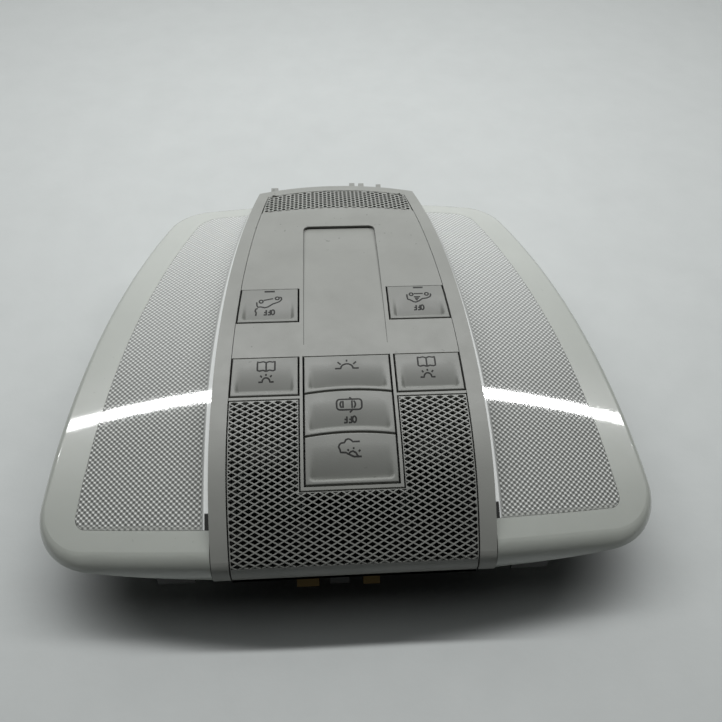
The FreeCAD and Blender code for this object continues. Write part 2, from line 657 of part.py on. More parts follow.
def scoop_tool(x0, x1, near_y, far_y):
    """Space of the finger scoop: from the face at the far side down to the near rim."""
    length = far_y - near_y
    start_y = far_y - SCOOP_START_SHARE * length
    rim_y = near_y + KEY_NEAR_RIM
    floor_y = rim_y + SCOOP_BANK
    middle_y = (start_y + floor_y) / 2
    start = Vector(x0, start_y, crest_z(start_y))
    middle = Vector(x0, middle_y, crest_z(middle_y) - SCOOP_MIDDLE_SHARE * KEY_SCOOP_DEPTH)
    floor = Vector(x0, floor_y, crest_z(floor_y) - KEY_SCOOP_DEPTH)
    rim = Vector(x0, rim_y, crest_z(rim_y) + SCOOP_OVERCUT)
    rim_up = Vector(x0, rim_y, ABOVE_Z)
    start_up = Vector(x0, start_y, ABOVE_Z)
    wire = Part.Wire([arc(start, middle, floor), line(floor, rim), line(rim, rim_up),
                      line(rim_up, start_up), line(start_up, start)])
    trough = Part.Face(wire).extrude(Vector(x1 - x0, 0, 0))
    low_z = crest_z(near_y) - KEY_SCOOP_DEPTH - PAST
    low = KEY_SIDE_RIM + SCOOP_SIDE_BANK
    high = low - SCOOP_SIDE_SLOPE * (ABOVE_Z - low_z)
    y = near_y - PAST
    corners = [Vector(x0 + low, y, low_z), Vector(x1 - low, y, low_z),
               Vector(x1 - high, y, ABOVE_Z), Vector(x0 + high, y, ABOVE_Z)]
    wedge = Part.Face(Part.makePolygon(corners + corners[:1])).extrude(Vector(0, length + 2 * PAST, 0))
    return trough.common(wedge)


def hinge_of(key):
    """Height and y of the hinge line of a key."""
    y = key["far"] - KEY_HINGE_BACK
    return y, crest_z(y) - KEY_HINGE_DROP


def plunger_at(key):
    return (key["x0"] + key["x1"]) / 2, key["far"] - PLUNGER_SHARE * (key["far"] - key["near"])


def key_plan(name, x0, x1, near, far, near_arch=0.0, far_arch=0.0, left_slack=0.0, right_slack=0.0):
    """A slack lets the cap run on from x0 or x1 to the curved rail."""
    return dict(name=name, x0=x0, x1=x1, near=near, far=far, near_arch=near_arch, far_arch=far_arch,
                left_slack=left_slack, right_slack=right_slack)


def key_list():
    """Plan of each key inside its gaps."""
    reading_out = panel_half_width(ROW_FAR_Y) - KEY_GAP
    alarm_out = panel_half_width(ALARM_FAR_Y) - KEY_GAP
    column = WELL_HALF_WIDTH - KEY_GAP
    row_far = ROW_FAR_Y - KEY_FAR_GAP
    half_gap = KEY_GAP / 2
    keys = [
        key_plan("cabin_light", -column, column, CABIN_NEAR_Y + half_gap, row_far, near_arch=KEY_ARCH),
        key_plan("door_light", -column, column, DOOR_NEAR_Y + half_gap, CABIN_NEAR_Y - half_gap,
                 near_arch=KEY_ARCH, far_arch=KEY_ARCH),
        key_plan("rear_light", -column, column, WELL_NEAR_Y + KEY_GAP, DOOR_NEAR_Y - half_gap,
                 far_arch=KEY_ARCH),
    ]
    for side, word in ((-1, "left"), (1, "right")):
        left_slack, right_slack = (RAIL_WIDTH, 0.0) if side < 0 else (0.0, RAIL_WIDTH)
        x0, x1 = sorted((side * (WELL_HALF_WIDTH + WEB_T + KEY_GAP), side * reading_out))
        keys.append(key_plan("reading_" + word, x0, x1, READING_NEAR_Y + KEY_GAP, row_far,
                             left_slack=left_slack, right_slack=right_slack))
        x0, x1 = sorted((side * (ALARM_INNER_X + KEY_GAP), side * alarm_out))
        keys.append(key_plan("alarm_" + word, x0, x1, ALARM_NEAR_Y + KEY_GAP, ALARM_FAR_Y - KEY_FAR_GAP,
                             left_slack=left_slack, right_slack=right_slack))
    return keys


def make_key(key):
    x0 = key["x0"]
    x1 = key["x1"]
    plan = key_outline(x0 - key["left_slack"], x1 + key["right_slack"], key["near"], key["far"],
                       key["near_arch"], key["far_arch"])
    plan = plan.common(panel_prism(KEY_GAP, 0, ABOVE_Z))
    cap = plan.common(crest_solid(0.0)).cut(crest_solid(KEY_CAP_T))
    cap = cap.cut(scoop_tool(x0, x1, key["near"], key["far"]))
    hinge_y, hinge_z = hinge_of(key)
    root = crest_solid(KEY_CAP_T * KEY_ROOT_SHARE)
    body = [cap]
    for side, edge in ((1, x0), (-1, x1)):
        post_out = edge + side * POST_INSET
        web_out = post_out + side * (POST_T + POST_PLAY)
        web_in = web_out + side * KEY_WEB_T
        wx0, wx1 = sorted((web_out, web_in))
        web = box(wx0, wx1, hinge_y - KEY_WEB_NEAR, hinge_y + KEY_WEB_FAR, hinge_z - 2 * KEY_PIN_R, ABOVE_Z)
        body.append(web.common(root))
        px0, px1 = sorted((post_out, web_in))
        body.append(Part.makeCylinder(KEY_PIN_R, px1 - px0, Vector(px0, hinge_y, hinge_z), Vector(1, 0, 0)))
    px, py = plunger_at(key)
    body.append(rod(PLUNGER_R, px, py, BOARD_Z + BOARD_T + DOME_H, ABOVE_Z).common(root))
    return body[0].multiFuse(body[1:]).removeSplitter()


def make_dome(key):
    x, y = plunger_at(key)
    base = BOARD_Z + BOARD_T
    return Part.makeCone(DOME_BASE_R, DOME_TOP_R, DOME_H, Vector(x, y, base))


def make_key_block(keys, plates):
    """Block under some keys: base plates, legs on the board and two pierced posts for each key."""
    block = None
    for x0, x1, y0, y1 in plates:
        plate = box(x0, x1, y0, y1, BLOCK_Z, BLOCK_Z + BLOCK_T)
        for x in (x0, x1 - BLOCK_LEG):
            for y in (y0, y1 - BLOCK_LEG):
                leg = box(x, x + BLOCK_LEG, y, y + BLOCK_LEG, BOARD_Z + BOARD_T, BLOCK_Z + BLOCK_T)
                plate = plate.fuse(leg)
        block = plate if block is None else block.fuse(plate)
    for key in keys:
        hinge_y, hinge_z = hinge_of(key)
        for side, edge in ((1, key["x0"]), (-1, key["x1"])):
            x0, x1 = sorted((edge + side * POST_INSET, edge + side * (POST_INSET + POST_T)))
            post = box(x0, x1, hinge_y - POST_HALF_LENGTH, hinge_y + POST_HALF_LENGTH,
                       BLOCK_Z, hinge_z + POST_RISE)
            hole = Part.makeCylinder(KEY_PIN_R + KEY_PIN_PLAY, POST_T + 2 * PAST,
                                     Vector(x0 - PAST, hinge_y, hinge_z), Vector(1, 0, 0))
            block = block.fuse(post.cut(hole))
        px, py = plunger_at(key)
        block = block.cut(rod(BLOCK_HOLE_R, px, py, BLOCK_Z - PAST, BLOCK_Z + BLOCK_T + PAST))
    return block.removeSplitter()


def make_key_blocks(keys):
    named = {key["name"]: key for key in keys}
    edge = BOARD_HALF_WIDTH
    middle = [named[n] for n in ("cabin_light", "door_light", "rear_light", "reading_left", "reading_right")]
    far = ROW_FAR_Y - BLOCK_FAR_INSET
    row = (-edge, edge, READING_NEAR_Y, far)
    column = (-WELL_HALF_WIDTH, WELL_HALF_WIDTH, WELL_NEAR_Y, far)
    made = {"key_carrier_middle": make_key_block(middle, (row, column))}
    for side, word in ((-1, "left"), (1, "right")):
        x0, x1 = sorted((side * ALARM_INNER_X, side * edge))
        plate = (x0, x1, ALARM_NEAR_Y, ALARM_FAR_Y)
        made["key_carrier_" + word] = make_key_block([named["alarm_" + word]], (plate,))
    return made


def make_circuit_board():
    top = BOARD_Z + BOARD_T
    board = box(-BOARD_HALF_WIDTH, BOARD_HALF_WIDTH, BOARD_NEAR_Y, BOARD_FAR_Y, BOARD_Z, top)
    for x, y, width, length, height in BOARD_CHIPS:
        board = board.fuse(box(x - width / 2, x + width / 2, y - length / 2, y + length / 2,
                               BOARD_Z - height, BOARD_Z))
    x, y = PANEL_POSTS[0]
    holes = [rod(PANEL_POST_R + BOARD_POST_PLAY, side * x, y, BOARD_Z - PAST, top + PAST) for side in (-1, 1)]
    return board.cut(holes)


def make_connector_header():
    w = HEADER_HALF_WIDTH
    body = box(-w, w, HEADER_NEAR_Y, HEADER_FAR_Y, HEADER_Z, HEADER_TOP_Z)
    riser = box(-w, w, HEADER_NEAR_Y, PLATE_WINDOW_FAR_Y - HEADER_WINDOW_GAP, HEADER_Z, BOARD_Z)
    inner = w - HEADER_WALL
    back = HEADER_FAR_Y - HEADER_DEPTH
    mouth = box(-inner, inner, back, HEADER_FAR_Y + PAST, HEADER_Z + HEADER_WALL, HEADER_TOP_Z - HEADER_WALL)
    header = body.fuse(riser).cut(mouth)
    z = (HEADER_Z + HEADER_TOP_Z) / 2
    half = HEADER_PIN_T / 2
    for i in range(HEADER_PINS):
        x = (i - (HEADER_PINS - 1) / 2) * HEADER_PIN_PITCH
        pin = box(x - half, x + half, back - HEADER_PIN_ROOT, back + HEADER_PIN_LENGTH, z - half, z + half)
        header = header.fuse(pin)
    return header.removeSplitter()


def cover_screw_places():
    return [(side * COVER_SCREW_X, y) for side in (-1, 1) for y in (-COVER_SCREW_Y, COVER_SCREW_Y)]


def panel_screw_places():
    return [(side * x, y) for side in (-1, 1) for x, y in PANEL_POSTS]


def make_carrier():
    under = RIM_Z - PLATE_T
    plate = rim_inset(PLATE_INSET, under, RIM_Z)
    window = box(-PLATE_WINDOW_HALF_WIDTH, PLATE_WINDOW_HALF_WIDTH, PLATE_WINDOW_NEAR_Y, PLATE_WINDOW_FAR_Y,
                 under - PAST, RIM_Z + PAST)
    lip_y = on_arc(LIP_C, LIP_R, LIP_END).y + PLATE_LIP_INSET
    plate = plate.cut(box(-BODY_HALF_WIDTH, BODY_HALF_WIDTH, FACE_NEAR_Y, lip_y, under - PAST, RIM_Z + PAST))
    carrier = plate.cut(window).cut(tray_prism(-TRAY_PLAY, under - PAST, RIM_Z + PAST))
    for side in (-1, 1):
        x0, x1 = sorted((side * FOOT_X, side * (FOOT_X + FOOT_WIDTH)))
        carrier = carrier.fuse(box(x0, x1, FOOT_NEAR_Y, FOOT_NEAR_Y + FOOT_LENGTH, under - FOOT_DROP, RIM_Z))
    carrier = carrier.fuse(box(CLIP_BLOCK[0], CLIP_BLOCK[1], CLIP_NEAR_Y + CLIP_BLOCK_NEAR_INSET,
                               CLIP_BASE_Y - CLIP_BLOCK_FAR_INSET, under - CLIP_BLOCK_DROP, under))
    for x, y in cover_screw_places():
        carrier = carrier.fuse(rod(BOSS_R, x, y, under, BOARD_Z))
        carrier = carrier.cut(rod(SCREW_R + SCREW_PLAY, x, y, under - PAST, BOARD_Z - BOSS_CAP))
    for x, y in panel_screw_places():
        carrier = carrier.cut(rod(SCREW_R + 2 * SCREW_PLAY, x, y, under - PAST, RIM_Z + PAST))
    return carrier.removeSplitter()


def make_rear_cover():
    top = RIM_Z - PLATE_T
    w = COVER_HALF_WIDTH
    n = COVER_HALF_LENGTH
    cover = box(-w, w, -n, n, 0, top)
    cover = cover.makeFillet(COVER_CORNER_R, upright_edges(cover, -n - PAST, n + PAST))
    inner = box(COVER_WALL - w, w - COVER_WALL, COVER_WALL - n, n - COVER_WALL, COVER_WALL, top + PAST)
    inner = inner.makeFillet(COVER_CORNER_R - COVER_WALL, upright_edges(inner, -n, n))
    cover = cover.cut(inner)
    half = HEADER_HALF_WIDTH + HEADER_PLAY
    cover = cover.cut(box(-half, half, n - COVER_WALL - PAST, n + PAST, HEADER_Z - HEADER_PLAY, top + PAST))
    for x, y in cover_screw_places():
        cover = cover.fuse(rod(COVER_BOSS_R, x, y, 0, top))
        cover = cover.cut(rod(SCREW_HEAD_R + 2 * SCREW_PLAY, x, y, -PAST, SCREW_HEAD_H + SCREW_SINK))
        cover = cover.cut(rod(SCREW_R + 2 * SCREW_PLAY, x, y, -PAST, top + PAST))
    return cover.removeSplitter()


def make_screw(x, y, head_z, end_z):
    low = head_z - SCREW_HEAD_H
    half = SCREW_SLOT / 2
    slot = box(x - SCREW_HEAD_R, x + SCREW_HEAD_R, y - half, y + half, low, low + SCREW_SLOT)
    head = rod(SCREW_HEAD_R, x, y, low, head_z).cut(slot)
    return head.fuse(rod(SCREW_R, x, y, low + SCREW_SLOT, end_z)).removeSplitter()


def make_panel_screws():
    head_z = RIM_Z - PLATE_T
    return Part.makeCompound([make_screw(x, y, head_z, RIM_Z + PANEL_SCREW_BITE)
                              for x, y in panel_screw_places()])


def make_cover_screws():
    head_z = SCREW_HEAD_H + SCREW_SINK
    return Part.makeCompound([make_screw(x, y, head_z, BOARD_Z - SCREW_END_GAP)
                              for x, y in cover_screw_places()])


def tray_middle(y):
    """Middle of the reflector tray at y, between the console wall and the rim."""
    body_x = BODY_HALF_WIDTH - BODY_SIDE_R + math.sqrt(BODY_SIDE_R ** 2 - (y - BARREL_WIDEST_Y) ** 2)
    rim_x = RIM_HALF_WIDTH - RIM_SIDE_R + math.sqrt(RIM_SIDE_R ** 2 - (y - RIM_WIDEST_Y) ** 2)
    return (body_x + TRAY_BODY_GAP + rim_x - TRAY_SIDE_INSET) / 2


def make_reflector(side):
    floor = TRAY_Z + TRAY_WALL
    bowl = side_pick(tray_prism(0.0, TRAY_Z, RIM_Z), side)
    flange = side_pick(tray_prism(-TRAY_FLANGE, RIM_Z, RIM_Z + TRAY_WALL), side)
    hollow = side_pick(tray_prism(TRAY_WALL, floor, RIM_Z + TRAY_WALL + PAST), side)
    tray = bowl.fuse(flange).cut(hollow)
    for y in (READING_BULB_Y, COURTESY_BULB_Y):
        x = side * tray_middle(y)
        tray = tray.cut(rod(HOLDER_BARREL_R + HOLDER_PLAY, x, y, TRAY_Z - PAST, floor + PAST))
    return tray.removeSplitter()


def make_holder(x, y):
    low = TRAY_Z - HOLDER_DROP
    grip_x = HOLDER_R - HOLDER_GRIP_INSET
    half = HOLDER_GRIP_T / 2
    holder = rod(HOLDER_R, x, y, low, TRAY_Z).fuse(rod(HOLDER_BARREL_R, x, y, low, TRAY_Z + HOLDER_RISE))
    holder = holder.fuse(box(x - grip_x, x + grip_x, y - half, y + half, low - HOLDER_GRIP_DROP, TRAY_Z))
    pocket = rod(BULB_NECK_R + BULB_PLAY, x, y, TRAY_Z + BULB_SEAT, TRAY_Z + HOLDER_RISE + PAST)
    return holder.cut(pocket).removeSplitter()


def make_bulb(x, y):
    foot = TRAY_Z + BULB_SEAT
    shoulder = TRAY_Z + HOLDER_RISE + BULB_NECK_RISE
    top = foot + BULB_H
    profile = ((0, foot), (BULB_NECK_R, foot), (BULB_NECK_R, shoulder), (BULB_R, shoulder + BULB_FLARE),
               (BULB_R, top - BULB_R), (0, top))
    points = [Vector(x + r, y, z) for r, z in profile]
    bend = Vector(x + BULB_R * math.sqrt(0.5), y, top - BULB_R * (1 - math.sqrt(0.5)))
    edges = [line(points[i], points[i + 1]) for i in range(4)]
    edges += [arc(points[4], bend, points[5]), line(points[5], points[0])]
    return Part.Face(Part.Wire(edges)).revolve(Vector(x, y, 0), Vector(0, 0, 1), 360)


def make_spring_clip():
    top = RIM_Z - PLATE_T
    knee_z = top - CLIP_KNEE_DROP
    end_z = top - CLIP_DROP
    bend_y = CLIP_NEAR_Y + CLIP_BEND
    root_y = CLIP_BASE_Y - CLIP_BASE_WIDTH / 2
    clip = box(CLIP_LEGS[0][0], CLIP_LEGS[1][1], CLIP_BASE_Y - CLIP_BASE_WIDTH, CLIP_BASE_Y,
               top - CLIP_T, top)
    path = [(root_y, top - CLIP_T), (root_y, top), (bend_y - CLIP_T, top), (CLIP_NEAR_Y - CLIP_T, knee_z),
            (bend_y, end_z), (bend_y + CLIP_T, end_z), (CLIP_NEAR_Y + CLIP_T, knee_z), (bend_y, top - CLIP_T)]
    for x0, x1 in CLIP_LEGS:
        corners = [Vector(x0, y, z) for y, z in path]
        leg = Part.Face(Part.makePolygon(corners + corners[:1])).extrude(Vector(x1 - x0, 0, 0))
        clip = clip.fuse(leg)
    return clip.removeSplitter()


def make_microphone():
    top = crest_z(MIC_Y) - PANEL_T - MIC_FACE_T
    return rod(MIC_R, 0, MIC_Y, top - MIC_H + MIC_FACE_T, top)


def make_sensor(side):
    x = side * SENSOR_X
    base = BOARD_Z + BOARD_T
    top = base + SENSOR_H
    can = rod(SENSOR_R, x, SENSOR_Y, base, top)
    return can.cut(rod(SENSOR_R - SENSOR_RIM, x, SENSOR_Y, top - SENSOR_DISH, top + PAST))


parts = {}
keys = key_list()
parts.update(make_lenses())
parts["trim_frame"] = make_trim_frame()
parts["centre_panel"] = make_centre_panel()
parts["diamond_grille"] = make_diamond_grille()
for key in keys:
    parts["key_" + key["name"]] = make_key(key)
    parts["dome_" + key["name"]] = make_dome(key)
parts.update(make_key_blocks(keys))
parts["circuit_board"] = make_circuit_board()
parts["connector_header"] = make_connector_header()
parts["carrier"] = make_carrier()
parts["rear_cover"] = make_rear_cover()
parts["panel_screws"] = make_panel_screws()
parts["cover_screws"] = make_cover_screws()
for side, word in ((-1, "left"), (1, "right")):
    parts["reflector_" + word] = make_reflector(side)
    parts["motion_sensor_" + word] = make_sensor(side)
    for use, y in (("reading", READING_BULB_Y), ("courtesy", COURTESY_BULB_Y)):
        x = side * tray_middle(y)
        parts[use + "_holder_" + word] = make_holder(x, y)
        parts[use + "_bulb_" + word] = make_bulb(x, y)
parts["microphone"] = make_microphone()
parts["near_spring_clip"] = make_spring_clip()

for name, shape in parts.items():
    shape.exportStep("parts/" + name + ".step")
    print(name, len(shape.Solids), shape.isValid(), round(shape.Volume, 1))
for key in keys:
    print("hinge", key["name"], [round(v, 3) for v in hinge_of(key)])
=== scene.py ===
# %% [markdown]
# # An overhead car lamp
# The lamp lies on its back on a pale table: a crowned grey console with keys and a diamond
# grille, between two swept lenses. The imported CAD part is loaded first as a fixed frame, and
# everything made below is placed in that same frame, in metres.

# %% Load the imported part
import json
import math

import bmesh
import bpy
from mathutils import Matrix, Quaternion, Vector
from mathutils.kdtree import KDTree


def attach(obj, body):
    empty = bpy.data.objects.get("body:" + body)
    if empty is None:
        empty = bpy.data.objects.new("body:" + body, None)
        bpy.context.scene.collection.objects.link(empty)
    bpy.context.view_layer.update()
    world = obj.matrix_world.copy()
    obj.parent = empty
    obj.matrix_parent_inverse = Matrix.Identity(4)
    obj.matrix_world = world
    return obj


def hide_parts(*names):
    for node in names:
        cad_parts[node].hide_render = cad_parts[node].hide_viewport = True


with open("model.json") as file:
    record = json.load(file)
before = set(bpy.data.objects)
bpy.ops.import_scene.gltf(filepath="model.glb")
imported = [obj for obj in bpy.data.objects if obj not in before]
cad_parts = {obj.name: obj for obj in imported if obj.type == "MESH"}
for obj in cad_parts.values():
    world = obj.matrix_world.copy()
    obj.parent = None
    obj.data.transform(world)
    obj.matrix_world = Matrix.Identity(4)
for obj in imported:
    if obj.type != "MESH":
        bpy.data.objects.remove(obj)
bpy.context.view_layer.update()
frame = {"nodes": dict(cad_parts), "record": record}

# %% [markdown]
# The console's face is one sweep seen from the side: a long flat arc over the top, a tighter
# arc where it turns down to the near end, and a small arc for the lip. Keys, grille and panel all
# lie on it, so it is described once, in millimetres, as a distance walked from the crest.

# %% The console's face
CREST_Y = 10.0
CREST_Z = 52.5
CREST_R = 400.0
SHOULDER_R = 110.0
LIP_R = 7.0
SHOULDER_Y = -48.0
SHOULDER_START = math.asin((CREST_Y - SHOULDER_Y) / CREST_R)
LIP_START = math.radians(33.0)
LIP_END = math.radians(86.0)
RIM_Z = 24.0
FAR_END_Y = 106.0


def facing(angle):
    """Direction out of the face where it has turned by this angle towards the near end."""
    return Vector((0, -math.sin(angle), math.cos(angle)))


CREST_CENTRE = Vector((0, CREST_Y, CREST_Z - CREST_R))
SHOULDER_CENTRE = CREST_CENTRE + (CREST_R - SHOULDER_R) * facing(SHOULDER_START)
LIP_CENTRE = SHOULDER_CENTRE + (SHOULDER_R - LIP_R) * facing(LIP_START)
SHOULDER_WALK = CREST_R * SHOULDER_START
LIP_WALK = SHOULDER_WALK + SHOULDER_R * (LIP_START - SHOULDER_START)
LIP_END_WALK = LIP_WALK + LIP_R * (LIP_END - LIP_START)


def on_console(x, walk, depth=0.0):
    """Point of the face at a walked distance from the crest, sunk by a depth."""
    if walk <= SHOULDER_WALK:
        angle = walk / CREST_R
        point = CREST_CENTRE + (CREST_R - depth) * facing(angle)
    elif walk <= LIP_WALK:
        angle = SHOULDER_START + (walk - SHOULDER_WALK) / SHOULDER_R
        point = SHOULDER_CENTRE + (SHOULDER_R - depth) * facing(angle)
    else:
        angle = LIP_START + min(walk - LIP_WALK, LIP_END_WALK - LIP_WALK) / LIP_R
        point = LIP_CENTRE + (LIP_R - depth) * facing(angle)
        point.z -= max(walk - LIP_END_WALK, 0.0)
    point.x = x
    return point


def console_z(y):
    """Height of the face over a place in the plan."""
    if y >= SHOULDER_Y:
        return CREST_CENTRE.z + math.sqrt(CREST_R ** 2 - (y - CREST_Y) ** 2)
    return SHOULDER_CENTRE.z + math.sqrt(SHOULDER_R ** 2 - (y - SHOULDER_CENTRE.y) ** 2)


def walk_to(y):
    """Distance walked from the crest to a place in the plan."""
    if y >= SHOULDER_Y:
        return CREST_R * math.asin((CREST_Y - y) / CREST_R)
    turned = math.asin((SHOULDER_CENTRE.y - y) / SHOULDER_R)
    return SHOULDER_WALK + SHOULDER_R * (turned - SHOULDER_START)


WIDEST_Y = -39.0
PANEL_HALF_WIDTH = 45.6
PANEL_SIDE_R = 890.0


def panel_half(y):
    """Half width of the panel, whose sides are gently bowed."""
    return PANEL_HALF_WIDTH - PANEL_SIDE_R + math.sqrt(PANEL_SIDE_R ** 2 - (y - WIDEST_Y) ** 2)


print("The face is", round(LIP_END_WALK - walk_to(FAR_END_Y), 1), "mm long from end to end")

# %% [markdown]
# Every new piece goes through the same last steps: its mesh is shrunk from millimetres to metres,
# its faces are shaded smooth except over sharp edges, and it is told which body carries it.

# %% Finishing a piece
MM = 0.001
HAIR = 0.01
SLIVER_AREA = 0.001
SLIVER_ROOM = 0.01


def show(thing):
    """Puts a new object into the scene."""
    bpy.context.scene.collection.objects.link(thing)


def finish_piece(bm, name, body, material, stands_for=(), sharp_deg=30.0):
    """Makes an object of a bmesh in millimetres and frees the bmesh."""
    bmesh.ops.scale(bm, vec=(MM, MM, MM), verts=bm.verts)
    mesh = bpy.data.meshes.new(name)
    bm.to_mesh(mesh)
    bm.free()
    mesh.shade_smooth()
    mesh.set_sharp_from_angle(angle=math.radians(sharp_deg))
    mesh.materials.append(material)
    piece = bpy.data.objects.new(name, mesh)
    show(piece)
    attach(piece, body)
    if stands_for:
        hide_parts(*stands_for)
    print(name, len(mesh.polygons), "faces")
    return piece


def lay_out(bm, place):
    """Moves every vertex of a flat sheet to where the function puts it."""
    for vert in bm.verts:
        vert.co = place(vert.co)


def cut(bm, point, normal, faces=None, clear=False):
    """Cuts faces along a plane; with clear, what lies on the normal's side goes."""
    chosen = list(bm.faces) if faces is None else faces
    parts = set(chosen)
    for face in chosen:
        parts.update(face.edges)
        parts.update(face.verts)
    bmesh.ops.bisect_plane(bm, geom=list(parts), dist=1e-5, plane_co=point, plane_no=normal,
                           clear_outer=clear)


def trim_to(bm, outline):
    """Trims a flat sheet to a convex outline, given as points counted against the clock."""
    for start, end in zip(outline, outline[1:] + outline[:1]):
        cut(bm, (start[0], start[1], 0), (end[1] - start[1], start[0] - end[0], 0), clear=True)


def room_in(face):
    """About the radius of the largest circle inside a face."""
    return 2 * face.calc_area() / face.calc_perimeter()


def thicken(bm, thickness):
    """Turns a flat sheet into a plate that reaches down from level 0."""
    slivers = [f for f in bm.faces if f.calc_area() < SLIVER_AREA or room_in(f) < SLIVER_ROOM]
    bmesh.ops.delete(bm, geom=slivers, context="FACES")
    bm.normal_update()
    bmesh.ops.reverse_faces(bm, faces=[f for f in bm.faces if f.normal.z < 0])
    bmesh.ops.solidify(bm, geom=bm.faces[:], thickness=thickness)
    bmesh.ops.recalc_face_normals(bm, faces=bm.faces[:])


def add_shell(bm, other):
    """Adds another bmesh to this one and frees it."""
    shell = bpy.data.meshes.new("shell")
    other.to_mesh(shell)
    other.free()
    bm.from_mesh(shell)
    bpy.data.meshes.remove(shell)


def blend(low, high, value):
    """0 below low, 1 above high, and a soft step between."""
    t = min(max((value - low) / (high - low), 0.0), 1.0)
    return t * t * (3 - 2 * t)


# %% [markdown]
# Two effects are shared by most finishes. Moulded plastic has a fine grain from its mould, and any
# handled part has faint smudges and a few specks. Each is a node group with its own values, so a
# material only says how strong it wants them.

# %% Shared surface effects
GRAIN_PER_M = 2600.0
CLOUDS_PER_M = 38.0
SPOTS_PER_M = 420.0
SPOT_FIELDS_PER_M = 22.0
SMEARS_PER_M = 70.0
CLOUD_SPAN = (0.3, 0.7)
SPOT_EDGE = (0.755, 0.775)
FIELD_EDGE = (0.50, 0.56)
SMEAR_SPAN = (0.42, 0.72)


def new_group(name, inputs, outputs):
    """An empty node group with its two end nodes."""
    group = bpy.data.node_groups.new(name, "ShaderNodeTree")
    for label, value in inputs:
        socket = group.interface.new_socket(label, in_out="INPUT", socket_type="NodeSocketFloat")
        socket.default_value = value
    for label in outputs:
        group.interface.new_socket(label, in_out="OUTPUT", socket_type="NodeSocketFloat")
    nodes = group.nodes
    return group, nodes.new("NodeGroupInput"), nodes.new("NodeGroupOutput")


def noise_in(group, scale_from, detail, rough=0.5):
    """Noise in Object coordinates."""
    noise = group.nodes.new("ShaderNodeTexNoise")
    noise.inputs["Detail"].default_value = detail
    noise.inputs["Roughness"].default_value = rough
    place = group.nodes.new("ShaderNodeTexCoord")
    group.links.new(place.outputs["Object"], noise.inputs["Vector"])
    if isinstance(scale_from, float):
        noise.inputs["Scale"].default_value = scale_from
    else:
        group.links.new(scale_from, noise.inputs["Scale"])
    return noise.outputs["Fac"]


def steep(group, value, low, high, start=0.0, end=1.0):
    """Stretches the part of a value between low and high over start to end."""
    ramp = group.nodes.new("ShaderNodeMapRange")
    ramp.inputs["From Min"].default_value = low
    ramp.inputs["From Max"].default_value = high
    ramp.inputs["To Min"].default_value = start
    ramp.inputs["To Max"].default_value = end
    group.links.new(value, ramp.inputs["Value"])
    return ramp.outputs["Result"]


def math_node(tree, operation, a, b=0.0, c=0.0):
    """Result of a sum of numbers or sockets."""
    node = tree.nodes.new("ShaderNodeMath")
    node.operation = operation
    for socket, value in zip(node.inputs, (a, b, c)):
        if isinstance(value, (int, float)):
            socket.default_value = value
        else:
            tree.links.new(value, socket)
    return node.outputs["Value"]


grain_group, grain_in, grain_out = new_group(
    "moulded grain", [("Grain per metre", GRAIN_PER_M)], ["Height", "Cloud"])
fine = noise_in(grain_group, grain_in.outputs["Grain per metre"], 2.0)
cloud = noise_in(grain_group, CLOUDS_PER_M, 3.0, 0.6)
grain_group.links.new(fine, grain_out.inputs["Height"])
grain_group.links.new(steep(grain_group, cloud, *CLOUD_SPAN), grain_out.inputs["Cloud"])

marks_group, marks_in, marks_out = new_group(
    "handling marks", [("Specks", 0.5)], ["Speck", "Smudge"])
spots = noise_in(marks_group, SPOTS_PER_M, 1.0, 0.3)
where = noise_in(marks_group, SPOT_FIELDS_PER_M, 2.0, 0.5)
fields = steep(marks_group, where, *FIELD_EDGE)
speck = math_node(marks_group, "MULTIPLY", steep(marks_group, spots, *SPOT_EDGE), fields)
darkness = math_node(marks_group, "MULTIPLY", speck, marks_in.outputs["Specks"])
marks_group.links.new(darkness, marks_out.inputs["Speck"])
smear = noise_in(marks_group, SMEARS_PER_M, 4.0, 0.65)
marks_group.links.new(steep(marks_group, smear, *SMEAR_SPAN), marks_out.inputs["Smudge"])
print("Shared effects:", [g.name for g in bpy.data.node_groups])

# %% [markdown]
# A plastic finish mixes two close tones with the cloudy mask, darkens where a speck lies, lets the
# smudges change its roughness and raises the grain with a bump. The glossy lenses use the same
# recipe with a clear coat over it, as a lacquered or polished part would have.

# %% Plastic finishes
SPECK_SHADE = 0.25
BUMP_STRENGTH = 0.5


def shade(colour, factor):
    return (*(part * factor for part in colour), 1.0)


def place_group(tree, group, value):
    node = tree.nodes.new("ShaderNodeGroup")
    node.node_tree = group
    node.inputs[0].default_value = value
    return node


def mixed(tree, mask, low, high):
    """Two colours or sockets mixed by a mask."""
    mix = tree.nodes.new("ShaderNodeMix")
    mix.data_type = "RGBA"
    tree.links.new(mask, mix.inputs["Factor"])
    for socket, colour in ((mix.inputs["A"], low), (mix.inputs["B"], high)):
        if isinstance(colour, tuple):
            socket.default_value = colour
        else:
            tree.links.new(colour, socket)
    return mix.outputs["Result"]


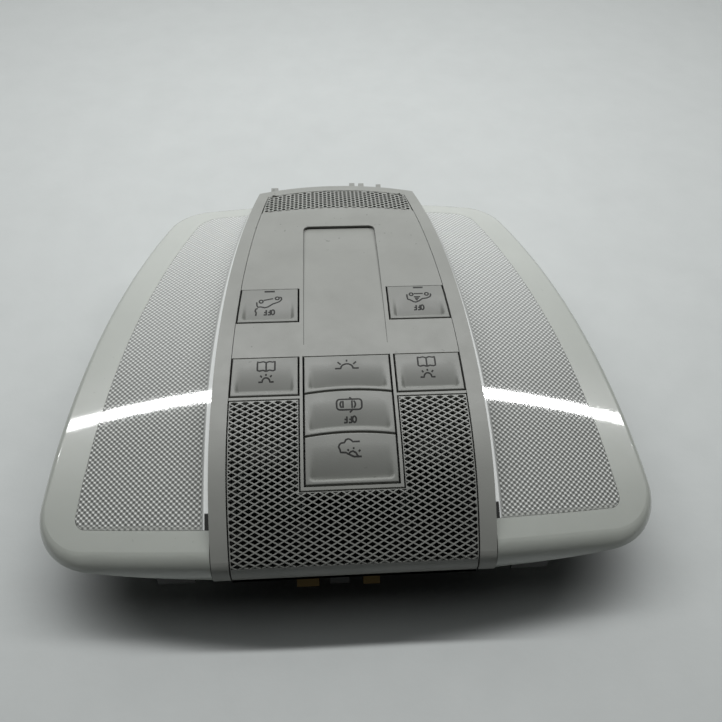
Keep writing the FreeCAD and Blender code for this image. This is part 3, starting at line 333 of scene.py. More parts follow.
def plastic(name, colour, rough, grain=GRAIN_PER_M, relief=0.00006, mottle=0.05, specks=0.4,
            rough_spread=0.06):
    """Makes a finish and returns it with its shader, so that a few values can still be set."""
    material = bpy.data.materials.new(name)
    material.use_nodes = True
    tree = material.node_tree
    shader = tree.nodes["Principled BSDF"]
    grained = place_group(tree, grain_group, grain)
    marked = place_group(tree, marks_group, specks)
    cloudy = grained.outputs["Cloud"]
    tone = mixed(tree, cloudy, shade(colour, 1 - mottle), shade(colour, 1 + mottle))
    tone = mixed(tree, marked.outputs["Speck"], tone, shade(colour, SPECK_SHADE))
    tree.links.new(tone, shader.inputs["Base Color"])
    smudged = steep(tree, marked.outputs["Smudge"], 0.0, 1.0, rough - rough_spread,
                    rough + rough_spread)
    tree.links.new(smudged, shader.inputs["Roughness"])
    bump = tree.nodes.new("ShaderNodeBump")
    bump.inputs["Strength"].default_value = BUMP_STRENGTH
    bump.inputs["Distance"].default_value = relief
    tree.links.new(grained.outputs["Height"], bump.inputs["Height"])
    tree.links.new(bump.outputs["Normal"], shader.inputs["Normal"])
    return material, shader


def polish(shader):
    """Lays a smooth clear coat over a finish."""
    shader.inputs["Coat Weight"].default_value = 1.0
    shader.inputs["Coat Roughness"].default_value = 0.05
    shader.inputs["Coat IOR"].default_value = 1.5


grey_plastic, grey = plastic("grey console plastic", (0.255, 0.26, 0.242), 0.52)
key_plastic, key_grey = plastic("grey key plastic", (0.200, 0.205, 0.190), 0.50)
grille_plastic, grille_grey = plastic("grille plastic", (0.250, 0.255, 0.238), 0.45, specks=0.0)
for satin in (grey, key_grey, grille_grey):
    satin.inputs["Specular IOR Level"].default_value = 0.6
black_plastic, _ = plastic("black back plastic", (0.018, 0.018, 0.017), 0.5)
white_plastic, _ = plastic("white reflector plastic", (0.72, 0.73, 0.70), 0.3, relief=0.00002)
dome_rubber, _ = plastic("dome rubber", (0.16, 0.16, 0.155), 0.7)
milky_plastic, milky = plastic("milky lens plastic", (0.385, 0.404, 0.372), 0.35, relief=0.00001,
                               mottle=0.03, specks=0.15, rough_spread=0.03)
polish(milky)
milky.inputs["Subsurface Weight"].default_value = 0.15
milky.inputs["Subsurface Radius"].default_value = (0.004, 0.004, 0.0035)
print("Plastics:", [m.name for m in bpy.data.materials])

# %% [markdown]
# Some pieces are metal, glass or board. Their finishes start from the same recipe and change the
# few values that make them what they are.

# %% Metal, glass and board finishes
def metal(name, colour, rough):
    material, shader = plastic(name, colour, rough, grain=900.0, relief=0.00002, specks=0.2)
    shader.inputs["Metallic"].default_value = 1.0
    return material


sensor_can = metal("sensor can metal", (0.10, 0.10, 0.10), 0.5)
screw_steel = metal("screw steel", (0.48, 0.48, 0.47), 0.32)
# Painted shade: the clip's bronze colour is darkened, as it lies in shade under the lip.
spring_metal = metal("yellow spring metal in painted shade", (0.075, 0.052, 0.022), 0.45)
solder_resist, _ = plastic("dark solder resist", (0.008, 0.022, 0.013), 0.5, specks=0.0)
bulb_glass, glass = plastic("bulb glass", (0.92, 0.94, 0.94), 0.06, relief=0.000005, mottle=0.02,
                            specks=0.0, rough_spread=0.03)
glass.inputs["Transmission Weight"].default_value = 1.0
glass.inputs["IOR"].default_value = 1.5
sign_ink, _ = plastic("sign ink", (0.008, 0.008, 0.007), 0.7, specks=0.0)
black_cloth, _ = plastic("black cloth", (0.012, 0.011, 0.010), 0.9, grain=3500.0, specks=0.0)
# Dark grey for the painted shade line round the recess.
recess_shade_grey, _ = plastic("painted recess shade", (0.07, 0.071, 0.066), 0.6, specks=0.0)
print("Finishes so far:", len(bpy.data.materials))

# %% [markdown]
# The window's outside is polished and its inside is moulded into small diamond prisms. Seen from
# outside, each prism shows as a bright dot with dark flanks under a smooth clear skin. Real prisms
# under a clear sheet would need far more light paths, so the net is drawn from the piece's own
# coordinates instead: its bright dots are painted highlights and its dark flanks painted shade, with
# one side of the flanks painted lighter as the light falls. It colours and tilts the base layer,
# while the clear coat stays smooth and takes the lamp's reflection. Towards the far end the painted
# shade gets lighter and the painted highlights dimmer. Arcs measured from their centres give the
# plain strips at the edges.

# %% Prismatic window finish
PRISM_X = 0.00211
PRISM_Y = 0.00203
PRISM_SLOPE = 0.07
PRISM_HEIGHT = 0.0006
RAIL_EDGE = (-0.7682, -0.039, 0.8203)
NEAR_EDGE = (0.0, 0.6838, 0.7665)
NET_FADE = (-0.045, 0.075)
HIGHLIGHT_RISE = (0.36, 0.92)
SHADE_LEAN = 0.35
NEAR_STRIP = (0.0016, 0.0013)
UNDER_RAIL_SPAN = (-0.085, -0.020)
UNDER_RAIL_WIDTH = (0.0010, 0.0021)
GREY_STRIP = (0.0017, 0.0014)
HIGHLIGHT_STRIP = (0.0010, 0.0008)
SLOT_LENGTH = (0.0062, 0.0058)
SLOT_WIDTH = (0.0007, 0.0005)
NET_START = (0.0013, 0.0018)
# Painted light of the prisms: flank colours are painted shade, tip colours painted highlights.
FLANK_SHADE_NEAR = (0.165, 0.17, 0.16, 1.0)
FLANK_SHADE_FAR = (0.42, 0.43, 0.42, 1.0)
TIP_HIGHLIGHT_NEAR = (0.86, 0.88, 0.85, 1.0)
TIP_HIGHLIGHT_FAR = (0.73, 0.75, 0.74, 1.0)
STRIP_DARK = (0.34, 0.35, 0.33, 1.0)
STRIP_GREY = (0.42, 0.43, 0.42, 1.0)
EDGE_HIGHLIGHT_NEAR = (0.95, 0.97, 0.96, 1.0)
EDGE_HIGHLIGHT_FAR = (0.60, 0.62, 0.61, 1.0)
SLOT_SHADE = (0.015, 0.015, 0.014, 1.0)


def from_arc(tree, x, y, arc):
    """Distance outside an arc of centre x, centre y and radius, all in metres."""
    centre_x, centre_y, radius = arc
    dx = math_node(tree, "SUBTRACT", x, centre_x)
    dy = math_node(tree, "SUBTRACT", y, centre_y)
    squares = math_node(tree, "MULTIPLY_ADD", dx, dx, math_node(tree, "MULTIPLY", dy, dy))
    return math_node(tree, "SUBTRACT", math_node(tree, "SQRT", squares), radius)


prism_plastic, prism = plastic("prismatic window plastic", (0.42, 0.43, 0.41), 0.3, mottle=0.03,
                               specks=0.0)
tree = prism_plastic.node_tree
place = tree.nodes.new("ShaderNodeTexCoord")
split = tree.nodes.new("ShaderNodeSeparateXYZ")
tree.links.new(place.outputs["Object"], split.inputs["Vector"])
far_y = split.outputs["Y"]
side_x = math_node(tree, "ABSOLUTE", split.outputs["X"])
beside_rail = from_arc(tree, side_x, far_y, RAIL_EDGE)
from_near_edge = math_node(tree, "MULTIPLY", from_arc(tree, side_x, far_y, NEAR_EDGE), -1.0)
farness = steep(tree, far_y, *NET_FADE)
across = math_node(tree, "DIVIDE", split.outputs["X"], PRISM_X)
sloped = math_node(tree, "MULTIPLY_ADD", side_x, -PRISM_SLOPE, far_y)
along = math_node(tree, "DIVIDE", sloped, PRISM_Y)
rise = math_node(tree, "PINGPONG", math_node(tree, "ADD", across, along), 0.5)
fall = math_node(tree, "PINGPONG", math_node(tree, "SUBTRACT", across, along), 0.5)
# Painted shade: one diagonal of flanks is drawn lighter than the other as the light falls, more so
# towards the far end.
shade_lean = math_node(tree, "MULTIPLY", farness, math_node(tree, "SUBTRACT", fall, rise))
height = math_node(tree, "ADD", rise, fall)
# dot marks the bright tip of each prism, a painted highlight.
dot = steep(tree, math_node(tree, "MULTIPLY_ADD", shade_lean, SHADE_LEAN, height), *HIGHLIGHT_RISE)
# Painted shade on the flanks and painted highlights on the tips, mixed by the dot mask.
flank_shade = mixed(tree, farness, FLANK_SHADE_NEAR, FLANK_SHADE_FAR)
tip_highlight = mixed(tree, farness, TIP_HIGHLIGHT_NEAR, TIP_HIGHLIGHT_FAR)
net = mixed(tree, dot, flank_shade, tip_highlight)
print("Net of the window made of", len(tree.nodes), "nodes")

# %% [markdown]
# Along the rail the window has a plain strip with a bright edge, which is a painted highlight where
# the edge catches the light, and at the near end a short dark slot beside the rail, which is painted
# shade. The rail hides part of the strip, more of it towards the far end, so the strips are measured
# from where the window comes into view.

# %% Edges of the window
tone = mixed(tree, steep(tree, from_near_edge, *NEAR_STRIP), net, STRIP_DARK)
under_rail = steep(tree, far_y, *UNDER_RAIL_SPAN, *UNDER_RAIL_WIDTH)
in_view = math_node(tree, "SUBTRACT", beside_rail, under_rail)
# Painted highlight along the window's edge beside the rail, brighter at the near end.
edge_highlight = mixed(tree, farness, EDGE_HIGHLIGHT_NEAR, EDGE_HIGHLIGHT_FAR)
tone = mixed(tree, steep(tree, in_view, *GREY_STRIP), tone, STRIP_GREY)
tone = mixed(tree, steep(tree, in_view, *HIGHLIGHT_STRIP), tone, edge_highlight)
# Painted shade: a black slot where the gap beside the rail lies in shade.
slot_end = steep(tree, from_near_edge, *SLOT_LENGTH)
slot = math_node(tree, "MULTIPLY", slot_end, steep(tree, in_view, *SLOT_WIDTH))
tone = mixed(tree, slot, tone, SLOT_SHADE)
tree.links.new(tone, prism.inputs["Base Color"])
bump = tree.nodes["Bump"]
bump.inputs["Strength"].default_value = 1.0
bump.inputs["Distance"].default_value = PRISM_HEIGHT
relief = math_node(tree, "MULTIPLY", height, steep(tree, in_view, *NET_START))
tree.links.new(relief, bump.inputs["Height"])
prism.inputs["Specular IOR Level"].default_value = 0.0
polish(prism)
print("The prism net has a pitch of", PRISM_X * 1000, "by", PRISM_Y * 1000, "mm")

# %% [markdown]
# CAD nodes whose shape is right keep their meshes and only get a finish. The table goes by the
# record's material slots, so a node that is added later gets its finish too.

# %% Finishes of the CAD nodes
finish_of_slot = {
    "grey_plastic": grey_plastic, "grille_plastic": grille_plastic, "milky_plastic": milky_plastic,
    "clear_plastic": prism_plastic, "white_plastic": white_plastic, "rubber": dome_rubber,
    "bulb_glass": bulb_glass, "board": solder_resist, "sensor_can": sensor_can,
    "steel": screw_steel, "spring_metal": spring_metal, "black_plastic": black_plastic,
}
slot_of_node = {row["node"]: row["material_slot"] for row in frame["record"]["subparts"]}
for name, node in frame["nodes"].items():
    node.data.materials.clear()
    node.data.materials.append(finish_of_slot[slot_of_node[name]])
print("CAD nodes with a finish:", len(frame["nodes"]))

# %% [markdown]
# The grille is a sheet of diamond openings bent over the console's near end. It is drawn flat: a
# grid turned by 45 degrees and squeezed is a sheet of diamonds, which is trimmed to a U, each
# diamond inset to leave its ribs, and the whole thickened, softened and bent onto the face.

# %% Diamond grille
DIAMOND_X = 4.1
DIAMOND_WALK = 2.36
RIB = 0.45
GRILLE_T = 1.6
GRILLE_FAR_Y = -36.3
GRILLE_OVER_LIP = 3.2
WELL_X = 19.1
WELL_Y = -71.6
SIDE_SEAM = 0.55
GRILLE_CELLS = 60
SMALLEST_CELL = 0.42
CROWN_BEVEL = 0.16
CORNER_TURN = 1.0
GRILLE_FAR = walk_to(GRILLE_FAR_Y)
GRILLE_NEAR = LIP_WALK + GRILLE_OVER_LIP
WELL_WALK = walk_to(WELL_Y)


def diamond_sheet(cells, size_x, size_y):
    """A flat sheet of diamonds with these diagonals."""
    bm = bmesh.new()
    bmesh.ops.create_grid(bm, x_segments=cells, y_segments=cells, size=cells / 2)
    turn = Matrix.Rotation(math.radians(45), 4, "Z")
    squeeze = Matrix.Diagonal((size_x / math.sqrt(2), size_y / math.sqrt(2), 1, 1))
    bmesh.ops.transform(bm, matrix=squeeze @ turn, verts=bm.verts)
    return bm


def grille_half(walk):
    """Half width of the grille at a walked distance."""
    return panel_half(on_console(0, walk).y) - SIDE_SEAM


bm = diamond_sheet(GRILLE_CELLS, DIAMOND_X, DIAMOND_WALK)
rows_back = round((GRILLE_FAR + GRILLE_NEAR) / 2 / DIAMOND_WALK) * DIAMOND_WALK
bmesh.ops.translate(bm, vec=(0, -rows_back, 0), verts=bm.verts)
side_walks = [GRILLE_NEAR + (GRILLE_FAR - GRILLE_NEAR) * i / 4 for i in range(5)]
right_side = [(grille_half(walk), -walk) for walk in side_walks]
trim_to(bm, right_side + [(-x, y) for x, y in reversed(right_side)])
near_well = [f for f in bm.faces if min(abs(v.co.x) for v in f.verts) < WELL_X]
cut(bm, (0, -WELL_WALK, 0), (0, 1, 0), near_well)
for side in (-1, 1):
    beside = [f for f in bm.faces if f.calc_center_median().y > -WELL_WALK]
    cut(bm, (side * WELL_X, 0, 0), (1, 0, 0), beside)
middles = {f: f.calc_center_median() for f in bm.faces}
well = [f for f, middle in middles.items() if abs(middle.x) < WELL_X and middle.y > -WELL_WALK]
bmesh.ops.delete(bm, geom=well, context="FACES")
cells = [f for f in bm.faces if room_in(f) > SMALLEST_CELL]
bmesh.ops.inset_individual(bm, faces=cells, thickness=RIB / 2, use_even_offset=True)
bmesh.ops.delete(bm, geom=cells, context="FACES_ONLY")
thicken(bm, GRILLE_T)
crown = [e for e in bm.edges if len(e.link_faces) == 2 and min(v.co.z for v in e.verts) > -HAIR
         and e.calc_face_angle(0) > CORNER_TURN]
bmesh.ops.bevel(bm, geom=crown, offset=CROWN_BEVEL, segments=2, profile=0.5, affect="EDGES",
                material=-1, clamp_overlap=True)
lay_out(bm, lambda p: on_console(p.x, -p.y, -p.z))
print("Diamonds in the grille:", len(cells))

# %% [markdown]
# Below the diamonds the grille ends in a plain rolled lip. It is a strip of the same sheet that is
# bent round the console's near edge and down to the rim, and it joins the grille's mesh.

# %% Lip of the grille
LIP_OVERLAP = 0.7
LIP_TOP_WALK = GRILLE_NEAR - LIP_OVERLAP
LIP_FOOT_WALK = LIP_END_WALK + on_console(0, LIP_END_WALK).z - RIM_Z
lip = bmesh.new()
bmesh.ops.create_grid(lip, x_segments=24, y_segments=16, size=0.5)


def lip_place(p):
    """Place of a point of the unit square on the lip."""
    walk = LIP_TOP_WALK + (0.5 - p.y) * (LIP_FOOT_WALK - LIP_TOP_WALK)
    return on_console(2 * p.x * grille_half(walk), walk)


lay_out(lip, lip_place)
bmesh.ops.solidify(lip, geom=lip.faces[:], thickness=GRILLE_T)
add_shell(bm, lip)
finish_piece(bm, "grille_ribs", "housing", grille_plastic, ["diamond_grille"])

# %% [markdown]
# The far end of the panel is a sieve of round holes in front of the microphone. Its rows follow a
# shallow arc, and every second column is set half a step further. A sheet of diamonds has just
# that order, so each diamond gets a round hole: an inset, one more point on each side, and all
# eight points moved to a circle. A diamond that the edge cuts through keeps the inset as its hole.
# The sheet is then thickened and laid on the face.

# %% Sieve of the panel's far end
HOLE_X = 4.1
HOLE_Y = 2.53
HOLE_R = 0.92
SIEVE_Y = 85.7
SIEVE_R = 164.0
SIEVE_START = -0.5
PANEL_FAR_Y = 105.7
PANEL_FAR_R = 88.8
SIEVE_SEAM = 0.45
SIEVE_T = 1.0
SIEVE_CELLS = 44
SIEVE_HALF = 37.4
SIDE_MIDDLE_Y = 90.0
CORNER_X = 34.8
FAR_STEPS = 6
WHOLE_SHARE = 0.97
SMALLEST_PART = 0.75
PART_RIB = 0.32
WHOLE_RIB = 0.45
NEAR_AXIS = 0.1


def sieve_start(x):
    """Where the sieve's first row lies."""
    return SIEVE_Y - SIEVE_R + math.sqrt(SIEVE_R ** 2 - x * x)


def panel_far(x):
    """Far edge of the panel."""
    return PANEL_FAR_Y - PANEL_FAR_R + math.sqrt(PANEL_FAR_R ** 2 - x * x) - SIEVE_SEAM


def sieve_side(y):
    """Point of the sieve's right side, counted from the first row."""
    x = panel_half(y) - SIEVE_SEAM
    return x, y - sieve_start(x)


near_side_x = panel_half(sieve_start(SIEVE_HALF)) - SIEVE_SEAM
sieve_right = [(near_side_x, SIEVE_START), sieve_side(SIDE_MIDDLE_Y)]
far_points = [CORNER_X * (1 - i / FAR_STEPS) for i in range(FAR_STEPS + 1)]
sieve_right += [(x, panel_far(x) - sieve_start(x)) for x in far_points]
bm = diamond_sheet(SIEVE_CELLS, HOLE_X, HOLE_Y)
bmesh.ops.translate(bm, vec=(HOLE_X / 2, 0, 0), verts=bm.verts)
sieve_outline = sieve_right + [(-x, t) for x, t in reversed(sieve_right[:-1])]
trim_to(bm, sieve_outline)
whole_area = WHOLE_SHARE * HOLE_X * HOLE_Y / 2
whole = [f for f in bm.faces if f.calc_area() > whole_area]
parts = [f for f in bm.faces if f.calc_area() <= whole_area and room_in(f) > SMALLEST_PART]
bmesh.ops.inset_individual(bm, faces=parts, thickness=PART_RIB, use_even_offset=True)
bmesh.ops.inset_individual(bm, faces=whole, thickness=WHOLE_RIB, use_even_offset=True)
centres = KDTree(len(whole))
for i, face in enumerate(whole):
    centres.insert(face.calc_center_bounds(), i)
centres.balance()
brims = {e for f in whole for e in f.edges}
bmesh.ops.delete(bm, geom=parts + whole, context="FACES_ONLY")
split_up = bmesh.ops.subdivide_edges(bm, edges=list(brims), cuts=1)["geom_split"]
brim_points = {v for e in split_up if isinstance(e, bmesh.types.BMEdge) for v in e.verts}
for vert in brim_points:
    centre = centres.find(vert.co)[0]
    arm = vert.co - centre
    way = Vector([0 if abs(part) < NEAR_AXIS else math.copysign(1, part) for part in arm])
    vert.co = centre + HOLE_R * way.normalized()
thicken(bm, SIEVE_T)


def sieve_place(p):
    """Place of a point of the flat sheet on the console's far end."""
    y = sieve_start(p.x) + p.y
    return Vector((p.x, y, console_z(y) + p.z))


lay_out(bm, sieve_place)
print("Holes in the sieve:", len(whole), "round and", len(parts), "cut by the edge")

# %% [markdown]
# Behind such a sieve lies a black cloth that keeps dust out and lets sound in, so the holes look
# dark from every side. It is a plain sheet with the sieve's own outline, a little way under it.

# %% Cloth behind the sieve
CLOTH_DEPTH = 1.3
CLOTH_T = 0.4
CLOTH_HALF = 45.0
cloth = bmesh.new()
bmesh.ops.create_grid(cloth, x_segments=40, y_segments=24, size=CLOTH_HALF)
trim_to(cloth, sieve_outline)
thicken(cloth, CLOTH_T)
bmesh.ops.translate(cloth, vec=(0, 0, -CLOTH_DEPTH), verts=cloth.verts)
lay_out(cloth, sieve_place)
finish_piece(cloth, "sieve_cloth", "housing", black_cloth)

# %% [markdown]
# The rest of the panel has the right shape in the CAD part already: the recess, the key openings
# and the webs. A copy of that mesh is merged, cut where the sieve starts and sliced across, so that
# its curved face shades evenly, and then joined with the sieve.

# %% Panel
RECESS_X = 16.8
RECESS_NEAR = -7.0
RECESS_FAR = 67.6
RECESS_DEPTH = 1.3
RECESS_MIDDLE = 0.4
RECESS_CORNER_R = 3.1
PANEL_T = 2.4
ARC_STEPS = 6
ARC_OVERREACH = 1.1
EDGE_SLACK = 0.05
SHEET_SLACK = 0.4
SLICE_NEAR = -64
SLICE_FAR = 82
SLICE_STEP = 4
SAME_POINT = 0.003
ON_FACE = 0.09
BELOW_FACE = 0.05
SAME_WAY = 0.98


def recess_arc():
    """Centre y, centre height and radius of the arc of the recess's floor."""
    middle = (RECESS_NEAR + RECESS_FAR) / 2
    ys = (RECESS_NEAR, middle, RECESS_FAR)
    sinks = (0.0, RECESS_MIDDLE * RECESS_DEPTH, RECESS_DEPTH)
    zs = [console_z(y) - sink for y, sink in zip(ys, sinks)]
    points = [Vector((y, z)) for y, z in zip(ys, zs)]
    first = points[1] - points[0]
    second = points[2] - points[0]
    twice = 2 * first.cross(second)
    centre_y = (second.y * first.length_squared - first.y * second.length_squared) / twice
    centre_z = (first.x * second.length_squared - second.x * first.length_squared) / twice
    centre = points[0] + Vector((centre_y, centre_z))
    return centre.x, centre.y, (centre - points[0]).length


recess_centre_y, recess_centre_z, recess_r = recess_arc()


def recess_z(y):
    """Height of the recess's floor."""
    return recess_centre_z + math.sqrt(recess_r ** 2 - (y - recess_centre_y) ** 2)


panel = bmesh.new()
panel.from_mesh(frame["nodes"]["centre_panel"].data)
bmesh.ops.scale(panel, vec=(1 / MM, 1 / MM, 1 / MM), verts=panel.verts)
bmesh.ops.remove_doubles(panel, verts=panel.verts, dist=SAME_POINT)
arc_x = [near_side_x * ARC_OVERREACH * (1 - i / ARC_STEPS) for i in range(2 * ARC_STEPS + 1)]
for x0, x1 in zip(arc_x, arc_x[1:]):
    y0 = sieve_start(x0) + SIEVE_START
    y1 = sieve_start(x1) + SIEVE_START
    cut(panel, (x0, y0, 0), (y1 - y0, x0 - x1, 0))


def under_sieve(face):
    """Whether a face of the CAD panel lies where the sieve goes."""
    middle = face.calc_center_median()
    return (middle.y > sieve_start(middle.x) + SIEVE_START - EDGE_SLACK
            and middle.z > console_z(middle.y) - PANEL_T - SHEET_SLACK)


bmesh.ops.delete(panel, geom=[f for f in panel.faces if under_sieve(f)], context="FACES")
for y in range(SLICE_NEAR, SLICE_FAR, SLICE_STEP):
    cut(panel, (0, y, 0), (0, 1, 0))
for vert in panel.verts:
    levels = [console_z(vert.co.y)]
    if abs(vert.co.x) < RECESS_X + HAIR and RECESS_NEAR - HAIR < vert.co.y < RECESS_FAR + HAIR:
        levels.append(recess_z(vert.co.y))
    if abs(vert.co.x) < RECESS_X - HAIR and RECESS_NEAR < vert.co.y < RECESS_FAR - RECESS_CORNER_R:
        levels = levels[1:]
    nearest = min(levels, key=lambda z: abs(vert.co.z - z))
    if abs(vert.co.z - nearest) < ON_FACE:
        vert.co.z = nearest
add_shell(bm, panel)
panel_piece = finish_piece(bm, "panel_face", "housing", grey_plastic,
                           ["centre_panel"])


def even_shading(mesh):
    """Gives every corner on the face or on the recess's floor the true direction of that arc."""
    directions = []
    for face in mesh.polygons:
        for corner in face.loop_indices:
            point = mesh.vertices[mesh.loops[corner].vertex_index].co / MM
            out = Vector((0, point.y - CREST_Y, point.z - CREST_CENTRE.z)).normalized()
            face_z = console_z(max(point.y, SHOULDER_Y))
            if point.z < face_z - BELOW_FACE and abs(point.x) < RECESS_X + HAIR:
                out = Vector((0, point.y - recess_centre_y, point.z - recess_centre_z)).normalized()
            on_arc = point.y > SHOULDER_Y and face.normal.dot(out) > SAME_WAY
            directions.append(out if on_arc else face.normal)
    mesh.normals_split_custom_set(directions)


even_shading(panel_piece.data)
print("The panel has", len(panel_piece.data.loops), "corners with set directions")

# %% [markdown]
# A key is a thin cap on the console's face with a finger scoop: it starts flush at the far edge,
# sinks towards the near edge and comes up again in a bank, so that three raised rims are left.
# The keys in the middle have arched edges, and the outer edge of a side key follows the rail.

# %% Keys
KEY_T = 2.6
SCOOP = 2.05
KEYS = {
    "cabin_light": dict(x0=-16.7, x1=16.7, near=-33.45, far=-16.55, near_arch=1.3, far_arch=0.0),
    "door_light": dict(x0=-16.7, x1=16.7, near=-51.35, far=-34.15, near_arch=1.3, far_arch=1.3),
    "rear_light": dict(x0=-16.7, x1=16.7, near=-69.2, far=-52.05, near_arch=0.0, far_arch=1.3),
    "reading_left": dict(x0=None, x1=-19.2, near=-33.9, far=-16.55, near_arch=0.0, far_arch=0.0),
    "reading_right": dict(x0=19.2, x1=None, near=-33.9, far=-16.55, near_arch=0.0, far_arch=0.0),
    "alarm_left": dict(x0=None, x1=-19.2, near=2.2, far=21.26, near_arch=0.0, far_arch=0.0),
    "alarm_right": dict(x0=19.2, x1=None, near=2.2, far=21.26, near_arch=0.0, far_arch=0.0),
}
KEY_SIDE_GAP = 0.7
FLAT_SHARE = 0.22
SINK_POWER = 1.7
SINK_END = 2.6
BANK = (1.2, 2.9)
SIDE_BANK = (1.3, 3.3)


def key_sides(key, y):
    """Left and right edge of a key; an edge beside a rail follows the rail."""
    rail = panel_half(y) - KEY_SIDE_GAP
    left = -rail if key["x0"] is None else key["x0"]
    right = rail if key["x1"] is None else key["x1"]
    return left, right


def key_ends(key, x):
    """Near and far edge of a key at x, with their arches."""
    left, right = key_sides(key, key["near"])
    t = (2 * x - left - right) / (right - left)
    bulge = max(1 - t * t, 0.0)
    return key["near"] + key["near_arch"] * bulge, key["far"] + key["far_arch"] * bulge


def key_top(key, x, y):
    """Height of a key's surface, scoop included."""
    near, far = key_ends(key, x)
    left, right = key_sides(key, y)
    length = far - near
    sunk = (far - y - FLAT_SHARE * length) / ((1 - FLAT_SHARE) * length - SINK_END)
    sink = min(max(sunk, 0.0), 1.0) ** SINK_POWER
    bank = blend(*BANK, y - near)
    side = blend(*SIDE_BANK, min(x - left, right - x))
    return console_z(y) - SCOOP * sink * bank * side


print("Keys:", list(KEYS))

# %% [markdown]
# Under each cap are two webs with hinge pins at the far edge, and a stem over the rubber dome. They
# are plain blocks and cylinders that reach a little way into the cap. The stem ends just above the
# dome, with room for the whole stroke.

# %% Undersides of the keys
HINGE_BACK = 3.0
HINGE_DROP = 6.2
PIN_R = 1.0
PIN_INSET = 0.35
WEB_INSET = 2.1
WEB_T = 1.2
WEB_NEAR = 6.0
WEB_FAR = 2.0
WEB_TOP_DEPTH = 2.2
PIN_ROOT = 0.1
STEM_SHARE = 0.62
STEM_ROOT = 0.3
STEM_R = 2.0
STEM_FOOT_Z = 32.7


def add_block(bm, low, high):
    """Adds a block between two opposite corners."""
    size = Matrix.Diagonal((high[0] - low[0], high[1] - low[1], high[2] - low[2], 1))
    middle = Matrix.Translation([(a + b) / 2 for a, b in zip(low, high)])
    bmesh.ops.create_cube(bm, size=1.0, matrix=middle @ size)


def add_underside(bm, key):
    """Two webs with hinge pins near the far edge, and the stem over the rubber dome."""
    hinge_y = key["far"] - HINGE_BACK
    hinge_z = console_z(hinge_y) - HINGE_DROP
    left, right = key_sides(key, key["far"])
    web_top = console_z(hinge_y) - WEB_TOP_DEPTH
    along_x = Matrix.Rotation(math.radians(90), 4, "Y")
    for edge, way in ((left, 1), (right, -1)):
        web = sorted((edge + way * WEB_INSET, edge + way * (WEB_INSET + WEB_T)))
        add_block(bm, (web[0], hinge_y - WEB_NEAR, hinge_z - 2 * PIN_R),
                  (web[1], hinge_y + WEB_FAR, web_top))
        pin = sorted((edge + way * PIN_INSET, edge + way * (WEB_INSET + PIN_ROOT)))
        at = Matrix.Translation(((pin[0] + pin[1]) / 2, hinge_y, hinge_z))
        bmesh.ops.create_cone(bm, cap_ends=True, segments=20, radius1=PIN_R, radius2=PIN_R,
                              depth=pin[1] - pin[0], matrix=at @ along_x)
    stem_y = key["far"] - STEM_SHARE * (key["far"] - key["near"])
    stem_top = console_z(stem_y - STEM_R) - KEY_T + STEM_ROOT
    at = Matrix.Translation(((left + right) / 2, stem_y, (STEM_FOOT_Z + stem_top) / 2))
    bmesh.ops.create_cone(bm, cap_ends=True, segments=24, radius1=STEM_R, radius2=STEM_R,
                          depth=stem_top - STEM_FOOT_Z, matrix=at)


# %% [markdown]
# The cap is a fine grid that is lifted onto the key's shape and given walls and a floor. Its upper
# rim is softened with a bevel, and the underside joins the same mesh.

# %% Caps of the keys
KEY_GRID = (52, 34)
RIM_BAND = 0.5
RIM_BEVEL = 0.32


def make_key(name, key):
    """Makes the cap of a key, with its underside."""
    bm = bmesh.new()
    bmesh.ops.create_grid(bm, x_segments=KEY_GRID[0], y_segments=KEY_GRID[1], size=0.5)

    def place(p):
        left, right = key_sides(key, key["near"] + (p.y + 0.5) * (key["far"] - key["near"]))
        near, far = key_ends(key, left + (p.x + 0.5) * (right - left))
        y = near + (p.y + 0.5) * (far - near)
        left, right = key_sides(key, y)
        x = left + (p.x + 0.5) * (right - left)
        return Vector((x, y, key_top(key, x, y)))

    lay_out(bm, place)
    rim = [e for e in bm.edges if e.is_boundary]
    walls = bmesh.ops.extrude_edge_only(bm, edges=rim)["geom"]
    low = [v for v in walls if isinstance(v, bmesh.types.BMVert)]
    for vert in low:
        vert.co.z = console_z(vert.co.y) - KEY_T
    bmesh.ops.holes_fill(bm, edges=[e for e in bm.edges if e.is_boundary], sides=0)
    rim = [e for e in bm.edges if len(e.link_faces) == 2 and e.calc_face_angle(0) > CORNER_TURN
           and min(v.co.z - console_z(v.co.y) for v in e.verts) > -RIM_BAND]
    bmesh.ops.bevel(bm, geom=rim, offset=RIM_BEVEL, segments=3, profile=0.5, affect="EDGES",
                    material=-1, clamp_overlap=True)
    add_underside(bm, key)
    bmesh.ops.recalc_face_normals(bm, faces=bm.faces[:])
    node = "key_" + name
    finish_piece(bm, node + "_cap", node, key_plastic, [node], sharp_deg=45.0)


for name, key in KEYS.items():
    make_key(name, key)

# %% [markdown]
# The keys are printed with plain signs: a lamp, an open book, a car from above and from the side.
# Each sign is a few strokes, written down as points in millimetres, across from the key's middle
# and back from its far edge. A curve with a round bevel gives the strokes their width; it is made
# a mesh, pressed flat and laid on the key's own surface.

# %% Strokes of the signs
STROKE = 0.68


def bow(across, back, r, start, end, steps=10, flat=1.0):
    """Points on an arc; 0 degrees points right and 90 to the far edge."""
    turns = [math.radians(start + (end - start) * i / steps) for i in range(steps + 1)]
    return [(across + r * math.cos(t), back - r * flat * math.sin(t)) for t in turns]


def moved(strokes, across, back=0.0):
    return [[(a + across, b + back) for a, b in stroke] for stroke in strokes]


